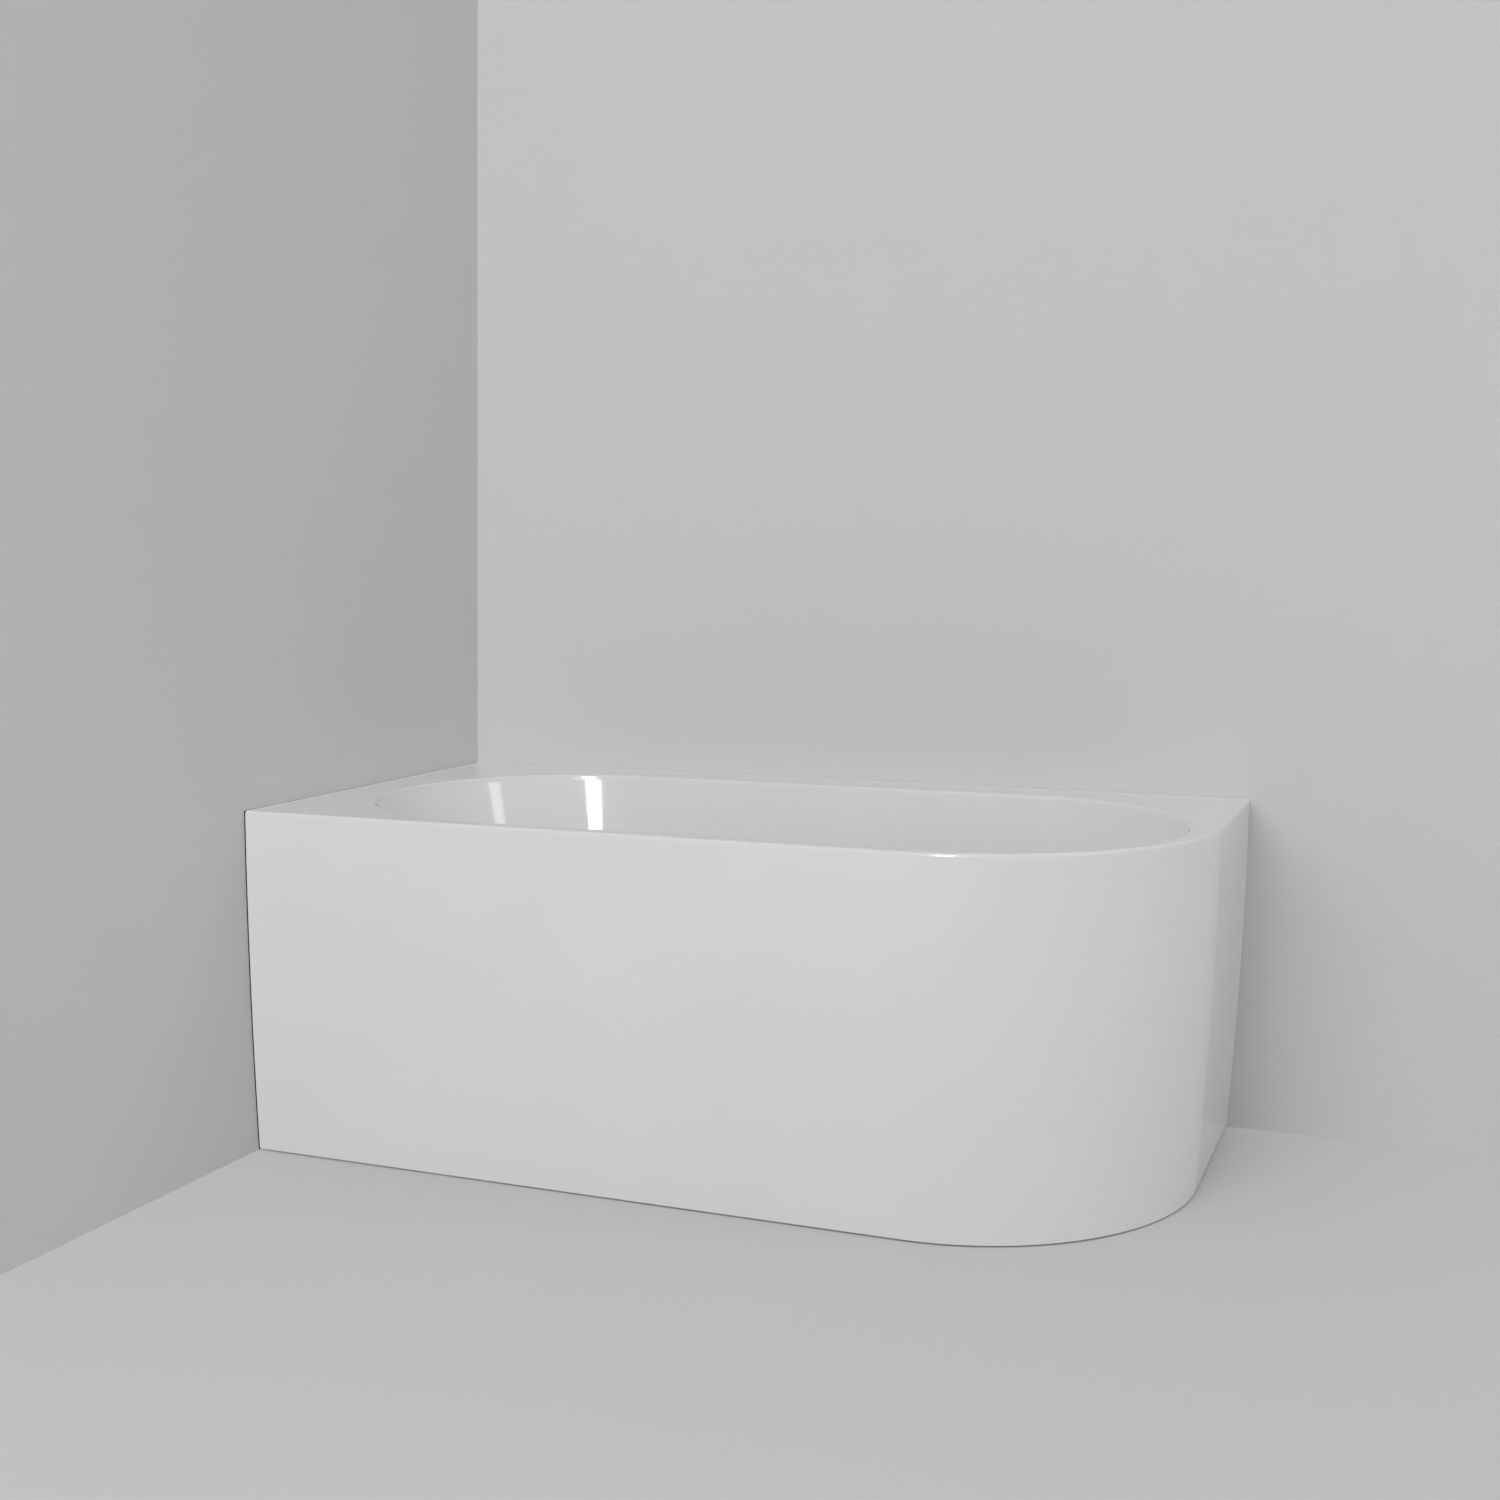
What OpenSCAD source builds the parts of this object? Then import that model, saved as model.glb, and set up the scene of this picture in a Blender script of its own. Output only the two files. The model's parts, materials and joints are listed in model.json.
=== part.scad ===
// Corner bath with a rounded free end: acrylic shell and apron on a steel frame, with its
// feet, wall anchors, pop-up waste, turning overflow knob, trap and outlet pipe.
// The back (+Y) and the left end (-X) stand against walls. The origin is on the floor, in the
// middle of the length and the width.

/* [Bath] */
// Length along the back wall
bath_l = 1600; // [1560:5:1660]
// Width from the back wall to the front
bath_w = 800; // [790:5:830]
// Height of the rim above the floor
bath_h = 600; // [590:5:620]
// Radius of the rounded front corner, at the rim
corner_r = 430; // [415:5:440]
// How far the foot of the apron stands back from the rim
apron_rake = 42; // [34:1:48]
// How far the apron bulges out halfway up
apron_bulge = 5; // [0:1:8]
// Thickness of the apron
apron_t = 5; // [4:0.5:6]
// Gap between the apron and the floor
floor_gap = 5; // [3:1:10]

/* [Rim] */
// Width of the rim along the front
front_rim = 37; // [33:1:42]
// Width of the deck along the back wall
back_deck = 97; // [90:1:110]
// Width of the deck at the left wall
left_deck = 92; // [85:1:110]
// Width of the rim at the rounded end
right_deck = 47; // [42:1:55]
// Radius of the rolled edges of the rim
edge_r = 8; // [7:0.5:10]
// Height of the rolled front edge, down to the seam with the apron
seam_h = 20; // [16:1:30]
// Height of the turned-down lip along the walls
lip_h = 30; // [25:1:40]

/* [Well] */
// Height of the drain above the floor, which leaves room for the trap
drain_h = 162; // [158:1:172]
// Slope of the long sides, in degrees from upright
side_slope = 7; // [5:0.5:9]
// Slope of the backrest at the left end, in degrees from upright
back_slope = 26; // [22:1:28]
// Slope of the foot end at the right, in degrees from upright
foot_slope = 16; // [14:1:17]
// Radius between the walls and the floor of the well
sole_r = 110; // [95:5:120]
// Fall of the well's floor to the drain
floor_fall = 3; // [2:0.5:5]
// Thickness of the acrylic shell
shell_t = 5; // [4:0.5:6]
// Thickness of the glass-fibre laminate on the underside of the well
laminate_t = 4; // [3:0.5:5]

/* [Frame] */
// Side of the square frame tubes
tube = 25; // [22:1:28]
// Wall of the frame tubes
tube_wall = 2; // [1.5:0.5:2.5]
// Thickness of the board under the well's floor
board_t = 16; // [12:1:18]
// Width of the board
board_w = 330; // [320:5:350]
// Spacing of the two long rails, centre to centre
rail_gap = 260; // [250:5:280]
// Width of the battens under the deck
batten_w = 28; // [24:1:32]
// Height of the battens under the deck
batten_h = 20; // [16:1:24]
// Distance of the left beam from the left wall
left_beam_in = 35; // [32:1:45]
// Distance of the right beam from the tip of the rounded end
right_beam_in = 160; // [155:1:170]
// Thickness of the folded steel brackets and anchors
plate_t = 3; // [2:0.5:4]

/* [Feet] */
// Radius of the threaded rods
rod_r = 6; // [5:0.5:7]
// Radius of the foot pads
pad_r = 24; // [20:1:28]
// Height of the foot pads
pad_h = 16; // [14:1:20]
// Travel of each foot when it is screwed out
foot_travel = 20; // [10:1:20]

/* [Waste] */
// Distance of the drain from the foot end of the well, at the rim
drain_in = 353; // [345:1:365]
// Radius of the waste flange
flange_r = 36; // [34:1:38]
// Radius of the throat of the waste flange
throat_r = 20; // [18:0.5:21]
// Lift of the plug
plug_lift = 9; // [6:1:10]
// Depth of the overflow's centre below the rim
overflow_depth = 80; // [76:1:90]
// Radius of the overflow knob
knob_r = 35; // [32:1:36]
// Gap between the trap and the floor
trap_gap = 10; // [6:1:14]
// Radius of the outlet pipe
outlet_r = 20; // [19:0.5:21]
// Length of the outlet pipe
outlet_l = 350; // [320:5:360]

/* [Hidden] */
$fn = 48;

// Steps of the curves that are worked out point by point
well_seg = 36;
edge_steps = 5;
sole_steps = 8;
apron_steps = 8;
// Clearances: between glued or bedded layers, between screwed pieces, in running fits, and
// behind a flat plate that seats in a curve
bond = 0.3;
loose = 0.2;
running = 0.06;
curve_gap = 0.6;
// Overlap that welds the parts of one solid together
weld = 0.5;

left_x = -bath_l / 2;
right_x = bath_l / 2;
front_y = -bath_w / 2;
back_y = bath_w / 2;
corner_x = right_x - corner_r;
corner_y = front_y + corner_r;

// Well: a stadium at the rim that leans in more at its ends than at its sides
well_depth = bath_h - drain_h - floor_fall;
well_r = (bath_w - front_rim - back_deck) / 2;
well_y = front_y + front_rim + well_r;
well_left = left_x + left_deck + well_r;
well_right = right_x - right_deck - well_r;
back_lean = tan(back_slope) - tan(side_slope);
foot_lean = tan(foot_slope) - tan(side_slope);
wall_top = [edge_r * (cos(side_slope) - 1), edge_r * (1 - sin(side_slope))];
wall_run = (well_depth - sole_r * (1 - sin(side_slope)) - wall_top[1]) / cos(side_slope);
sole_centre = [wall_top[0] + wall_run * sin(side_slope) + sole_r * cos(side_slope),
    well_depth - sole_r];
laminate_top = 40;

// Levels under the well, from the drain down
drain_x = well_right + well_r - drain_in;
drain_z = drain_h;
laminate_z = drain_z - shell_t - bond - laminate_t;
board_z = laminate_z - bond - board_t;
rail_z = board_z - tube;
beam_z = rail_z - tube;

// Frame
front_rail_y = well_y - rail_gap / 2;
back_rail_y = well_y + rail_gap / 2;
left_beam_x = left_x + left_beam_in;
right_beam_x = right_x - right_beam_in;
middle_beam_x = (left_beam_x + right_beam_x) / 2;
wall_clear = 8;
beam_back_y = back_y - wall_clear;
beam_front_y = front_y + 72;
beam_clear = 20;
right_beam_front_y = corner_y - sqrt(pow(apron_inside(beam_z) - beam_clear, 2)
    - pow(right_beam_x + tube / 2 - corner_x, 2));
board_past_end = 145;
board_past_drain = 100;
board_left_x = well_left + back_lean * well_depth - board_past_end;
board_right_x = drain_x + board_past_drain;
board_cut_r = 62;
rail_end_x = right_beam_x + tube / 2;
back_rail_end_x = floor(corner_x + apron_inside(rail_z) - 12);
deck_z = bath_h - shell_t;
batten_z = deck_z - bond - batten_h;
batten_in = 15;

// Feet: one under each end of the three beams
foot_in = 48;
feet = [[left_beam_x, beam_front_y + foot_in], [left_beam_x, beam_back_y - foot_in],
    [middle_beam_x, beam_front_y + foot_in], [middle_beam_x, beam_back_y - foot_in],
    [right_beam_x, right_beam_front_y + foot_in], [right_beam_x, beam_back_y - foot_in]];
nut_across = 3 * rod_r;
nut_h = 10;
lock_nut_h = 6;

// Waste
recess_r = flange_r + 2;
recess_t = 2;
seal_t = 1;
flange_t = 2.5;
flange_z = drain_z - recess_t + seal_t;
stem_l = 26;
thread_r = throat_r + 3;
hub_r = 7;
stem_r = 4;
bowl_r = 34;
bowl_wall = 3;
body_seal_t = 2;
body_z = laminate_z - loose - body_seal_t - 4;
bowl_h = 44;
bowl_z = body_z - bowl_h;
neck_z = bowl_z - 10;
inlet_r = 14.5;
inlet_z = body_z - inlet_r - 6;
inlet_x = drain_x + 62;
dip_r = 18;
cup_r = 44;
cup_z = trap_gap;
cup_neck = 6;
nut_lid = 3;
nut_gap = 2.5;
cup_top = neck_z - nut_gap - nut_lid - cup_neck;
outlet_z = cup_top - 5 - outlet_r;
socket_wall = 4;
socket_r = outlet_r + loose + socket_wall;

// Overflow: its own frame has +Z along the knob's axis into the well, and +X up the wall
overflow_x = well_right + well_r - wall_s(overflow_depth)
    - foot_lean * (overflow_depth - edge_r);
overflow_z = bath_h - overflow_depth;
overflow_tilt = foot_slope - 90;
laminate_back = -(shell_t + bond + laminate_t);
body_seal_back = laminate_back - 3;
drum_r = 28;
spout_r = 11.5;
hose_nut_r = inlet_r + 3.5;
spout_z = laminate_back - hose_nut_r - 1.2;
drum_back = spout_z - spout_r;
spout_l = 48;
ring_seat = 1.3;
knob_seat = 6;
spindle_r = 5;

// Route of the overflow hose, from the spout down to the inlet of the waste body
hose_r = 13;
hose_rib = 1.5;
hose_ribs = 64;
hose_clear = sole_r + shell_t + bond + laminate_t + hose_r + hose_rib + 6;
hose_points = [
    from_overflow([-spout_l - 3, 0, spout_z]),
    from_overflow([-spout_l - 70, 0, spout_z]),
    round_sole(0, 0),
    round_sole(35, 0),
    round_sole(66, 0),
    [inlet_x + 50, well_y, inlet_z + 5],
    [inlet_x + 3, well_y, inlet_z]];
// Sockets for the ends of the bowden cable, on the drum and on the waste body
socket_y = 27;
socket_l = 30;
cable_end_r = 4.5;
// Route of the bowden cable beside the hose
cable_r = 3;
cable_y = 30;
cable_points = [
    from_overflow([-socket_l - bond, socket_y, spout_z]),
    from_overflow([-spout_l - 60, cable_y, spout_z]),
    round_sole(0, cable_y),
    round_sole(35, cable_y),
    round_sole(66, cable_y),
    [inlet_x + 10, well_y + cable_y, inlet_z + 3],
    [drain_x + socket_l + bond, well_y + socket_y, inlet_z]];

// Distance of the apron's face from the corner's centre lines, at height z up to the rolled edge
function apron_s(z) = let(u = z / (bath_h - edge_r))
    corner_r - apron_rake * (1 - u) + 4 * apron_bulge * u * (1 - u);

// The same for the surface that touches the inside of the apron
function apron_inside(z) = apron_s(z) - apron_t - bond;

// Inset of the well's long side from the rim, at a depth on its straight stretch
function wall_s(d) = wall_top[0] + (d - wall_top[1]) * tan(side_slope);

// Point beside the foot of the well, outside the curve between its wall and its floor
function round_sole(a, y) = let(d = sole_centre[1] + hose_clear * sin(a))
    [well_right + well_r - sole_centre[0] - foot_lean * (d - edge_r) + hose_clear * cos(a),
        well_y + y, bath_h - d];

function reversed(list) = [for (i = [len(list) - 1:-1:0]) list[i]];

// Profile of the well's wall from the rolled edge to the floor as [inset, depth], a distance t
// outside the surface that a bather touches
function edge_curve(t) = [for (i = [0:edge_steps]) let(a = i * (90 - side_slope) / edge_steps)
    [-edge_r + (edge_r - t) * sin(a), edge_r - (edge_r - t) * cos(a)]];
function sole_curve(t) = [for (i = [0:sole_steps])
    let(a = side_slope + i * (90 - side_slope) / sole_steps)
    [sole_centre[0] - (sole_r + t) * cos(a), sole_centre[1] + (sole_r + t) * sin(a)]];

// One ring of the well: a stadium whose two ends have moved in by the lean
function ring(p) = let(r = well_r - p[0], lean = max(0, p[1] - edge_r), z = bath_h - p[1])
    concat(
        [for (i = [0:well_seg]) let(a = 180 * i / well_seg - 90)
            [well_right - lean * foot_lean + r * cos(a), well_y + r * sin(a), z]],
        [for (i = [0:well_seg]) let(a = 180 * i / well_seg + 90)
            [well_left + lean * back_lean + r * cos(a), well_y + r * sin(a), z]]);

// Closed shell between an inner and an outer list of rings, each ending in a point at the drain
module ring_shell(inner, outer, inner_z, outer_z) {
    n = 2 * (well_seg + 1);
    levels = len(inner);
    rings = concat(reversed(outer), inner);
    points = concat([for (p = rings) each ring(p)],
        [[drain_x, well_y, outer_z], [drain_x, well_y, inner_z]]);
    last = 2 * levels - 1;
    sides = [for (k = [0:last - 1], i = [0:n - 1]) let(j = (i + 1) % n)
        each [[k * n + i, (k + 1) * n + i, k * n + j],
            [k * n + j, (k + 1) * n + i, (k + 1) * n + j]]];
    under = [for (i = [0:n - 1]) [2 * levels * n, i, (i + 1) % n]];
    over = [for (i = [0:n - 1]) [2 * levels * n + 1, last * n + (i + 1) % n, last * n + i]];
    polyhedron(points, concat(sides, under, over), convexity = 6);
}

// Sweeps a [distance, height] profile along the front, round the corner and along the end
module j_sweep(profile) {
    translate([corner_x, corner_y, 0]) {
        rotate([90, 0, -90]) linear_extrude(corner_x - left_x) polygon(profile);
        rotate([0, 0, -90]) rotate_extrude(angle = 90) polygon(profile);
    }
    translate([corner_x, back_y, 0])
        rotate([90, 0, 0]) linear_extrude(back_y - corner_y) polygon(profile);
}

module box(low, high) {
    translate(low) cube(high - low);
}

module disc(r, z0, z1) {
    translate([0, 0, z0]) cylinder(r = r, h = z1 - z0);
}

module pipe(outer, inner, z0, z1) {
    difference() {
        disc(outer, z0, z1);
        disc(inner, z0 - 1, z1 + 1);
    }
}

module hex_nut(across, bore, z0, z1) {
    difference() {
        translate([0, 0, z0]) cylinder(d = across / cos(30), h = z1 - z0, $fn = 6);
        disc(bore, z0 - 1, z1 + 1);
    }
}

// Points of a smooth route: a Catmull-Rom curve through the given points
function route_at(p, u) = let(n = len(p) - 1, k = min(floor(u * n), n - 1), t = u * n - k,
    a = p[max(k - 1, 0)], b = p[k], c = p[k + 1], d = p[min(k + 2, n)])
    0.5 * (2 * b + (c - a) * t + (2 * a - 5 * b + 4 * c - d) * t * t
        + (3 * b - a - 3 * c + d) * t * t * t);
function unit(v) = v / norm(v);

// Ring of eight points round a route, square to it
function tube_ring(p, u, r) = let(step = 0.002,
    way = unit(route_at(p, min(1, u + step)) - route_at(p, max(0, u - step))),
    side = unit(cross(way, [0, 1, 0])), up = cross(side, way))
    [for (i = [0:7]) route_at(p, u) + r * (cos(45 * i) * side + sin(45 * i) * up)];

// Solid swept through a list of eight-pointed rings, closed into a tube or capped at its ends
module skin(rings, closed) {
    n = 8;
    m = len(rings);
    sides = [for (k = [0:m - (closed ? 1 : 2)], i = [0:n - 1])
        let(j = (i + 1) % n, l = (k + 1) % m)
        each [[k * n + i, k * n + j, l * n + i], [k * n + j, l * n + j, l * n + i]]];
    caps = closed ? [] : [[for (i = [n - 1:-1:0]) i], [for (i = [0:n - 1]) (m - 1) * n + i]];
    polyhedron([for (r = rings) each r], concat(sides, caps), convexity = 8);
}

module at_drain() {
    translate([drain_x, well_y, 0]) children();
}

module at_overflow() {
    translate([overflow_x, well_y, overflow_z]) rotate([0, overflow_tilt, 0]) children();
}

function from_overflow(p) = [
    overflow_x + p[0] * cos(overflow_tilt) + p[2] * sin(overflow_tilt), well_y + p[1],
    overflow_z - p[0] * sin(overflow_tilt) + p[2] * cos(overflow_tilt)];

// Acrylic shell: deck with rolled edge and wall lips, and the well
module bath_shell() {
    edge = [for (i = [0:edge_steps]) let(a = 90 * i / edge_steps)
        [corner_r - edge_r + edge_r * sin(a), bath_h - edge_r + edge_r * cos(a)]];
    inside = [for (i = [edge_steps:-1:0]) let(a = 90 * i / edge_steps)
        [corner_r - edge_r + (edge_r - shell_t) * sin(a),
            bath_h - edge_r + (edge_r - shell_t) * cos(a)]];
    seam = bath_h - seam_h;
    profile = concat([[0, bath_h]], edge,
        [[apron_s(seam), seam], [apron_s(seam) - shell_t, seam]], inside, [[0, deck_z]]);
    inner = edge_curve(0);
    outer = edge_curve(shell_t);
    sink = [0, 0.05];
    color("white") difference() {
        union() {
            difference() {
                union() {
                    j_sweep(profile);
                    box([left_x, corner_y, deck_z], [corner_x, back_y, bath_h]);
                    box([left_x, front_y + shell_t + 2, bath_h - lip_h],
                        [left_x + shell_t, back_y, deck_z + weld]);
                    box([left_x, back_y - shell_t, bath_h - lip_h],
                        [corner_x + apron_inside(bath_h - lip_h), back_y, deck_z + weld]);
                }
                translate([0, 0, deck_z - 1]) linear_extrude(shell_t + 2)
                    polygon([for (p = ring([weld - edge_r, 0])) [p[0], p[1]]]);
            }
            ring_shell(
                concat([inner[0] + sink], [for (i = [1:edge_steps]) inner[i]], sole_curve(0)),
                concat([outer[0] - sink], [for (i = [1:edge_steps]) outer[i]],
                    sole_curve(shell_t)),
                drain_z, drain_z - shell_t);
        }
        at_drain() {
            disc(recess_r, drain_z - recess_t, drain_z + 20);
            disc(thread_r + 2, drain_z - 20, drain_z);
        }
        at_overflow() {
            disc(drum_r - 3, -20, 20);
            disc(drum_r + 2, 0, 20);
        }
    }
}

// Laminate of glass fibre and resin, sprayed on the underside of the well
module fibreglass_backing() {
    t = shell_t + bond;
    start = [[wall_s(laminate_top), laminate_top]];
    away = [cos(side_slope), -sin(side_slope)];
    color("beige") difference() {
        ring_shell(concat([start[0] - t * away], sole_curve(t)),
            concat([start[0] - (t + laminate_t) * away], sole_curve(t + laminate_t)),
            drain_z - t, drain_z - t - laminate_t);
        at_drain() disc(thread_r + 3, laminate_z - 20, drain_z);
        at_overflow() disc(drum_r, -20, 20);
    }
}

// Apron: front, rounded corner and end in one raked and slightly bulging sheet
module apron() {
    top = bath_h - seam_h;
    levels = [for (i = [0:apron_steps]) floor_gap + i * (top - floor_gap) / apron_steps];
    color("white") j_sweep(concat([for (z = levels) [apron_s(z), z]],
        [for (z = reversed(levels)) [apron_s(z) - apron_t, z]]));
}

// Board that spreads the load under the well's floor, cut away round the waste
module base_board() {
    color("burlywood") translate([0, 0, board_z]) difference() {
        linear_extrude(board_t) difference() {
            translate([board_left_x, well_y - board_w / 2])
                square([board_right_x - board_left_x, board_w]);
            translate([drain_x, well_y]) circle(board_cut_r);
            translate([drain_x, well_y - board_cut_r]) square([board_w, 2 * board_cut_r]);
        }
        for (p = screw_places()) translate([p[0], p[1], -1]) disc(screw_r + loose, 0, 11);
    }
}

// Battens bonded under the deck along the two walls
module back_batten() {
    color("burlywood") box([left_x + shell_t + bond, back_y - batten_in - batten_w, batten_z],
        [corner_x + apron_s(batten_z) - apron_t - 8, back_y - batten_in, deck_z - bond]);
}

module left_batten() {
    color("burlywood") box([left_x + batten_in, front_y + batten_in, batten_z],
        [left_x + batten_in + batten_w, back_y - batten_in - batten_w - bond, deck_z - bond]);
}

// Square tube between two corners, open along X (0), Y (1) or Z (2)
module square_tube(low, high, axis) {
    inset = [for (i = [0:2]) i == axis ? -1 : tube_wall];
    color("silver") difference() {
        box(low, high);
        box(low + inset, high - inset);
    }
}

// Screws that hold the board down to the two rails
screw_r = 2.5;
screw_head_r = 5;
screw_in = 45;
function screw_places() = [for (x = [board_left_x + screw_in, middle_beam_x + 60,
        board_right_x - screw_in], y = [front_rail_y, back_rail_y]) [x, y]];

module rail(y, end) {
    difference() {
        square_tube([left_beam_x - tube / 2, y - tube / 2, rail_z],
            [end, y + tube / 2, board_z], 0);
        for (p = screw_places()) if (p[1] == y)
            translate([p[0], y, 0]) disc(screw_r + loose, rail_z - 1, board_z + 1);
        for (p = bracket_places) if (p[0][1] == y)
            translate(p[0]) disc(screw_r + loose, -tube_wall - 1, 1);
    }
}

module front_rail() {
    rail(front_rail_y, rail_end_x);
}

module back_rail() {
    rail(back_rail_y, back_rail_end_x);
}

module board_screws() {
    color("gray") for (p = screw_places()) translate([p[0], p[1], 0]) {
        disc(screw_r, rail_z - 1, board_z + 8);
        disc(screw_head_r, rail_z - 3.5, rail_z - loose);
    }
}

// Beams across the bath, each with a hole at both ends for its feet
module beam(x, front) {
    difference() {
        square_tube([x - tube / 2, front, beam_z], [x + tube / 2, beam_back_y, rail_z], 1);
        for (p = feet) if (p[0] == x)
            translate([x, p[1], 0]) disc(rod_r + 1, beam_z - 1, beam_z + tube_wall + 1);
        for (p = bracket_places) if (p[0][0] == x)
            translate(p[0]) disc(screw_r + loose, -tube_wall - 1, 1);
    }
}

module left_beam() {
    beam(left_beam_x, beam_front_y);
}

module middle_beam() {
    beam(middle_beam_x, beam_front_y);
}

module right_beam() {
    beam(right_beam_x, right_beam_front_y);
}

// Posts that carry the battens from the ends of the beams
module post(x, y) {
    square_tube([x - tube / 2, y, rail_z], [x + tube / 2, y + tube, batten_z - bond], 2);
}

post_back_y = back_y - batten_in - batten_w + (batten_w - tube) / 2;

module front_left_post() {
    post(left_x + batten_in + batten_w / 2, beam_front_y + 40);
}

module back_left_post() {
    post(left_beam_x, post_back_y);
}

module back_middle_post() {
    post(middle_beam_x, post_back_y);
}

module back_right_post() {
    post(right_beam_x, post_back_y);
}

// Black caps pushed into the open ends of the rails and beams
module tube_caps() {
    plug = tube - 2 * tube_wall - 2 * loose;
    module cap() {
        translate([-tube / 2, -tube / 2, 0]) cube([tube, tube, 2]);
        translate([-plug / 2, -plug / 2, -8]) cube([plug, plug, 8 + weld]);
    }
    rail_mid = rail_z + tube / 2;
    beam_mid = beam_z + tube / 2;
    color("black") {
        for (y = [front_rail_y, back_rail_y])
            translate([left_beam_x - tube / 2, y, rail_mid]) rotate([0, -90, 0]) cap();
        translate([rail_end_x, front_rail_y, rail_mid]) rotate([0, 90, 0]) cap();
        translate([back_rail_end_x, back_rail_y, rail_mid]) rotate([0, 90, 0]) cap();
        for (x = [left_beam_x, middle_beam_x, right_beam_x])
            translate([x, beam_back_y, beam_mid]) rotate([-90, 0, 0]) cap();
        for (x = [left_beam_x, middle_beam_x])
            translate([x, beam_front_y, beam_mid]) rotate([90, 0, 0]) cap();
        translate([right_beam_x, right_beam_front_y, beam_mid]) rotate([90, 0, 0]) cap();
    }
}

// Folded brackets that tie the foot of the apron to the frame. In their own frame the apron is
// towards +X, and the tab lies on a tube whose top is at z = 0
bracket_w = 40;
bracket_h = 50;
bracket_back = 15;

module apron_bracket(reach, top) {
    low = top - bracket_h;
    back = apron_inside(top) - apron_inside(low);
    color("silver") difference() {
        translate([0, bracket_w / 2, 0]) rotate([90, 0, 0]) linear_extrude(bracket_w)
            polygon([[-bracket_back, 0], [reach - plate_t, 0],
                [reach - plate_t - back, -bracket_h], [reach - back, -bracket_h],
                [reach, plate_t], [-bracket_back, plate_t]]);
        disc(screw_r + loose, -1, plate_t + 1);
    }
}

// Places of the brackets: screw on top of the tube, turn about Z, and reach to the apron
corner_bracket_x = rail_end_x - bracket_back;
corner_turn = atan2(front_rail_y - corner_y, corner_bracket_x - corner_x);
bracket_places = [
    [[left_beam_x, beam_front_y + bracket_back, rail_z], -90],
    [[middle_beam_x, beam_front_y + bracket_back, rail_z], -90],
    [[corner_bracket_x, front_rail_y, board_z], corner_turn],
    [[back_rail_end_x - bracket_back, back_rail_y, board_z], 0]];

// Reach of a bracket from its screw to the inside of the apron
function bracket_reach(p, z) = p[1] == 0 ? corner_x + apron_inside(z) - p[0][0]
    : p[1] == -90 ? p[0][1] - corner_y + apron_inside(z)
    : sqrt(pow(apron_inside(z) - curve_gap, 2) - pow(bracket_w / 2, 2))
        - norm([p[0][0] - corner_x, p[0][1] - corner_y]);

module place_bracket(k) {
    p = bracket_places[k];
    translate(p[0]) rotate([0, 0, p[1]]) apron_bracket(bracket_reach(p, p[0][2]), p[0][2]);
}

module left_apron_bracket() {
    place_bracket(0);
}

module middle_apron_bracket() {
    place_bracket(1);
}

module corner_apron_bracket() {
    place_bracket(2);
}

module end_apron_bracket() {
    place_bracket(3);
}

module bracket_screws() {
    color("gray") for (p = bracket_places)
        translate(p[0]) {
            disc(screw_r, -tube_wall - 4, plate_t + 1);
            disc(screw_head_r, plate_t + loose, plate_t + 3);
        }
}

// Nuts welded under the beams, and lock nuts below them
module weld_nuts() {
    color("silver") for (p = feet) translate([p[0], p[1], 0])
        hex_nut(nut_across, rod_r + running, beam_z - nut_h, beam_z);
}

module lock_nuts() {
    color("silver") for (p = feet) translate([p[0], p[1], 0])
        hex_nut(nut_across, rod_r + running, beam_z - nut_h - lock_nut_h, beam_z - nut_h);
}

module foot_rod(k) {
    tip = 1;
    top = beam_z + tube - tube_wall - 3;
    color("silver") translate([feet[k][0], feet[k][1], 0]) {
        disc(rod_r, pad_h / 2, top - tip);
        translate([0, 0, top - tip]) cylinder(r1 = rod_r, r2 = rod_r - tip, h = tip);
    }
}

module foot_pad(k) {
    rim_h = 5;
    neck_r = rod_r + 5;
    color("black") translate([feet[k][0], feet[k][1], 0]) rotate_extrude()
        polygon([[0, 0], [pad_r - 1, 0], [pad_r, 1], [pad_r, rim_h - 1], [pad_r - 1, rim_h],
            [neck_r + 2, rim_h + 2], [neck_r, rim_h + 4], [neck_r, pad_h], [rod_r + loose, pad_h],
            [rod_r + loose, pad_h / 2 - loose], [0, pad_h / 2 - loose]]);
}

// Chromed flange of the waste, with a conical seat for the plug's seal and spokes that guide
// the plug's stem
seat_w = 3;
seat_h = 5;
module waste_flange() {
    top = flange_z + flange_t;
    bottom = flange_z - 28;
    hub_top = flange_z - 12;
    hub_h = 8;
    color("gainsboro") at_drain() {
        rotate_extrude() polygon([[throat_r + seat_w, top], [flange_r - 2, top],
            [flange_r, top - 1.5], [flange_r, flange_z], [thread_r, flange_z],
            [thread_r, bottom], [throat_r, bottom], [throat_r, top - seat_h]]);
        pipe(hub_r, stem_r + running, hub_top - hub_h, hub_top);
        difference() {
            for (a = [0:90:270]) rotate([0, 0, a])
                box([hub_r - weld, -1.5, hub_top - hub_h], [throat_r + weld, 1.5, hub_top - 1]);
            disc(hub_r - weld / 2, hub_top - hub_h - 1, hub_top);
        }
    }
}

module flange_seal() {
    color("dimgray") at_drain() pipe(flange_r - 2, thread_r + loose, flange_z - seal_t, flange_z);
}

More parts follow.
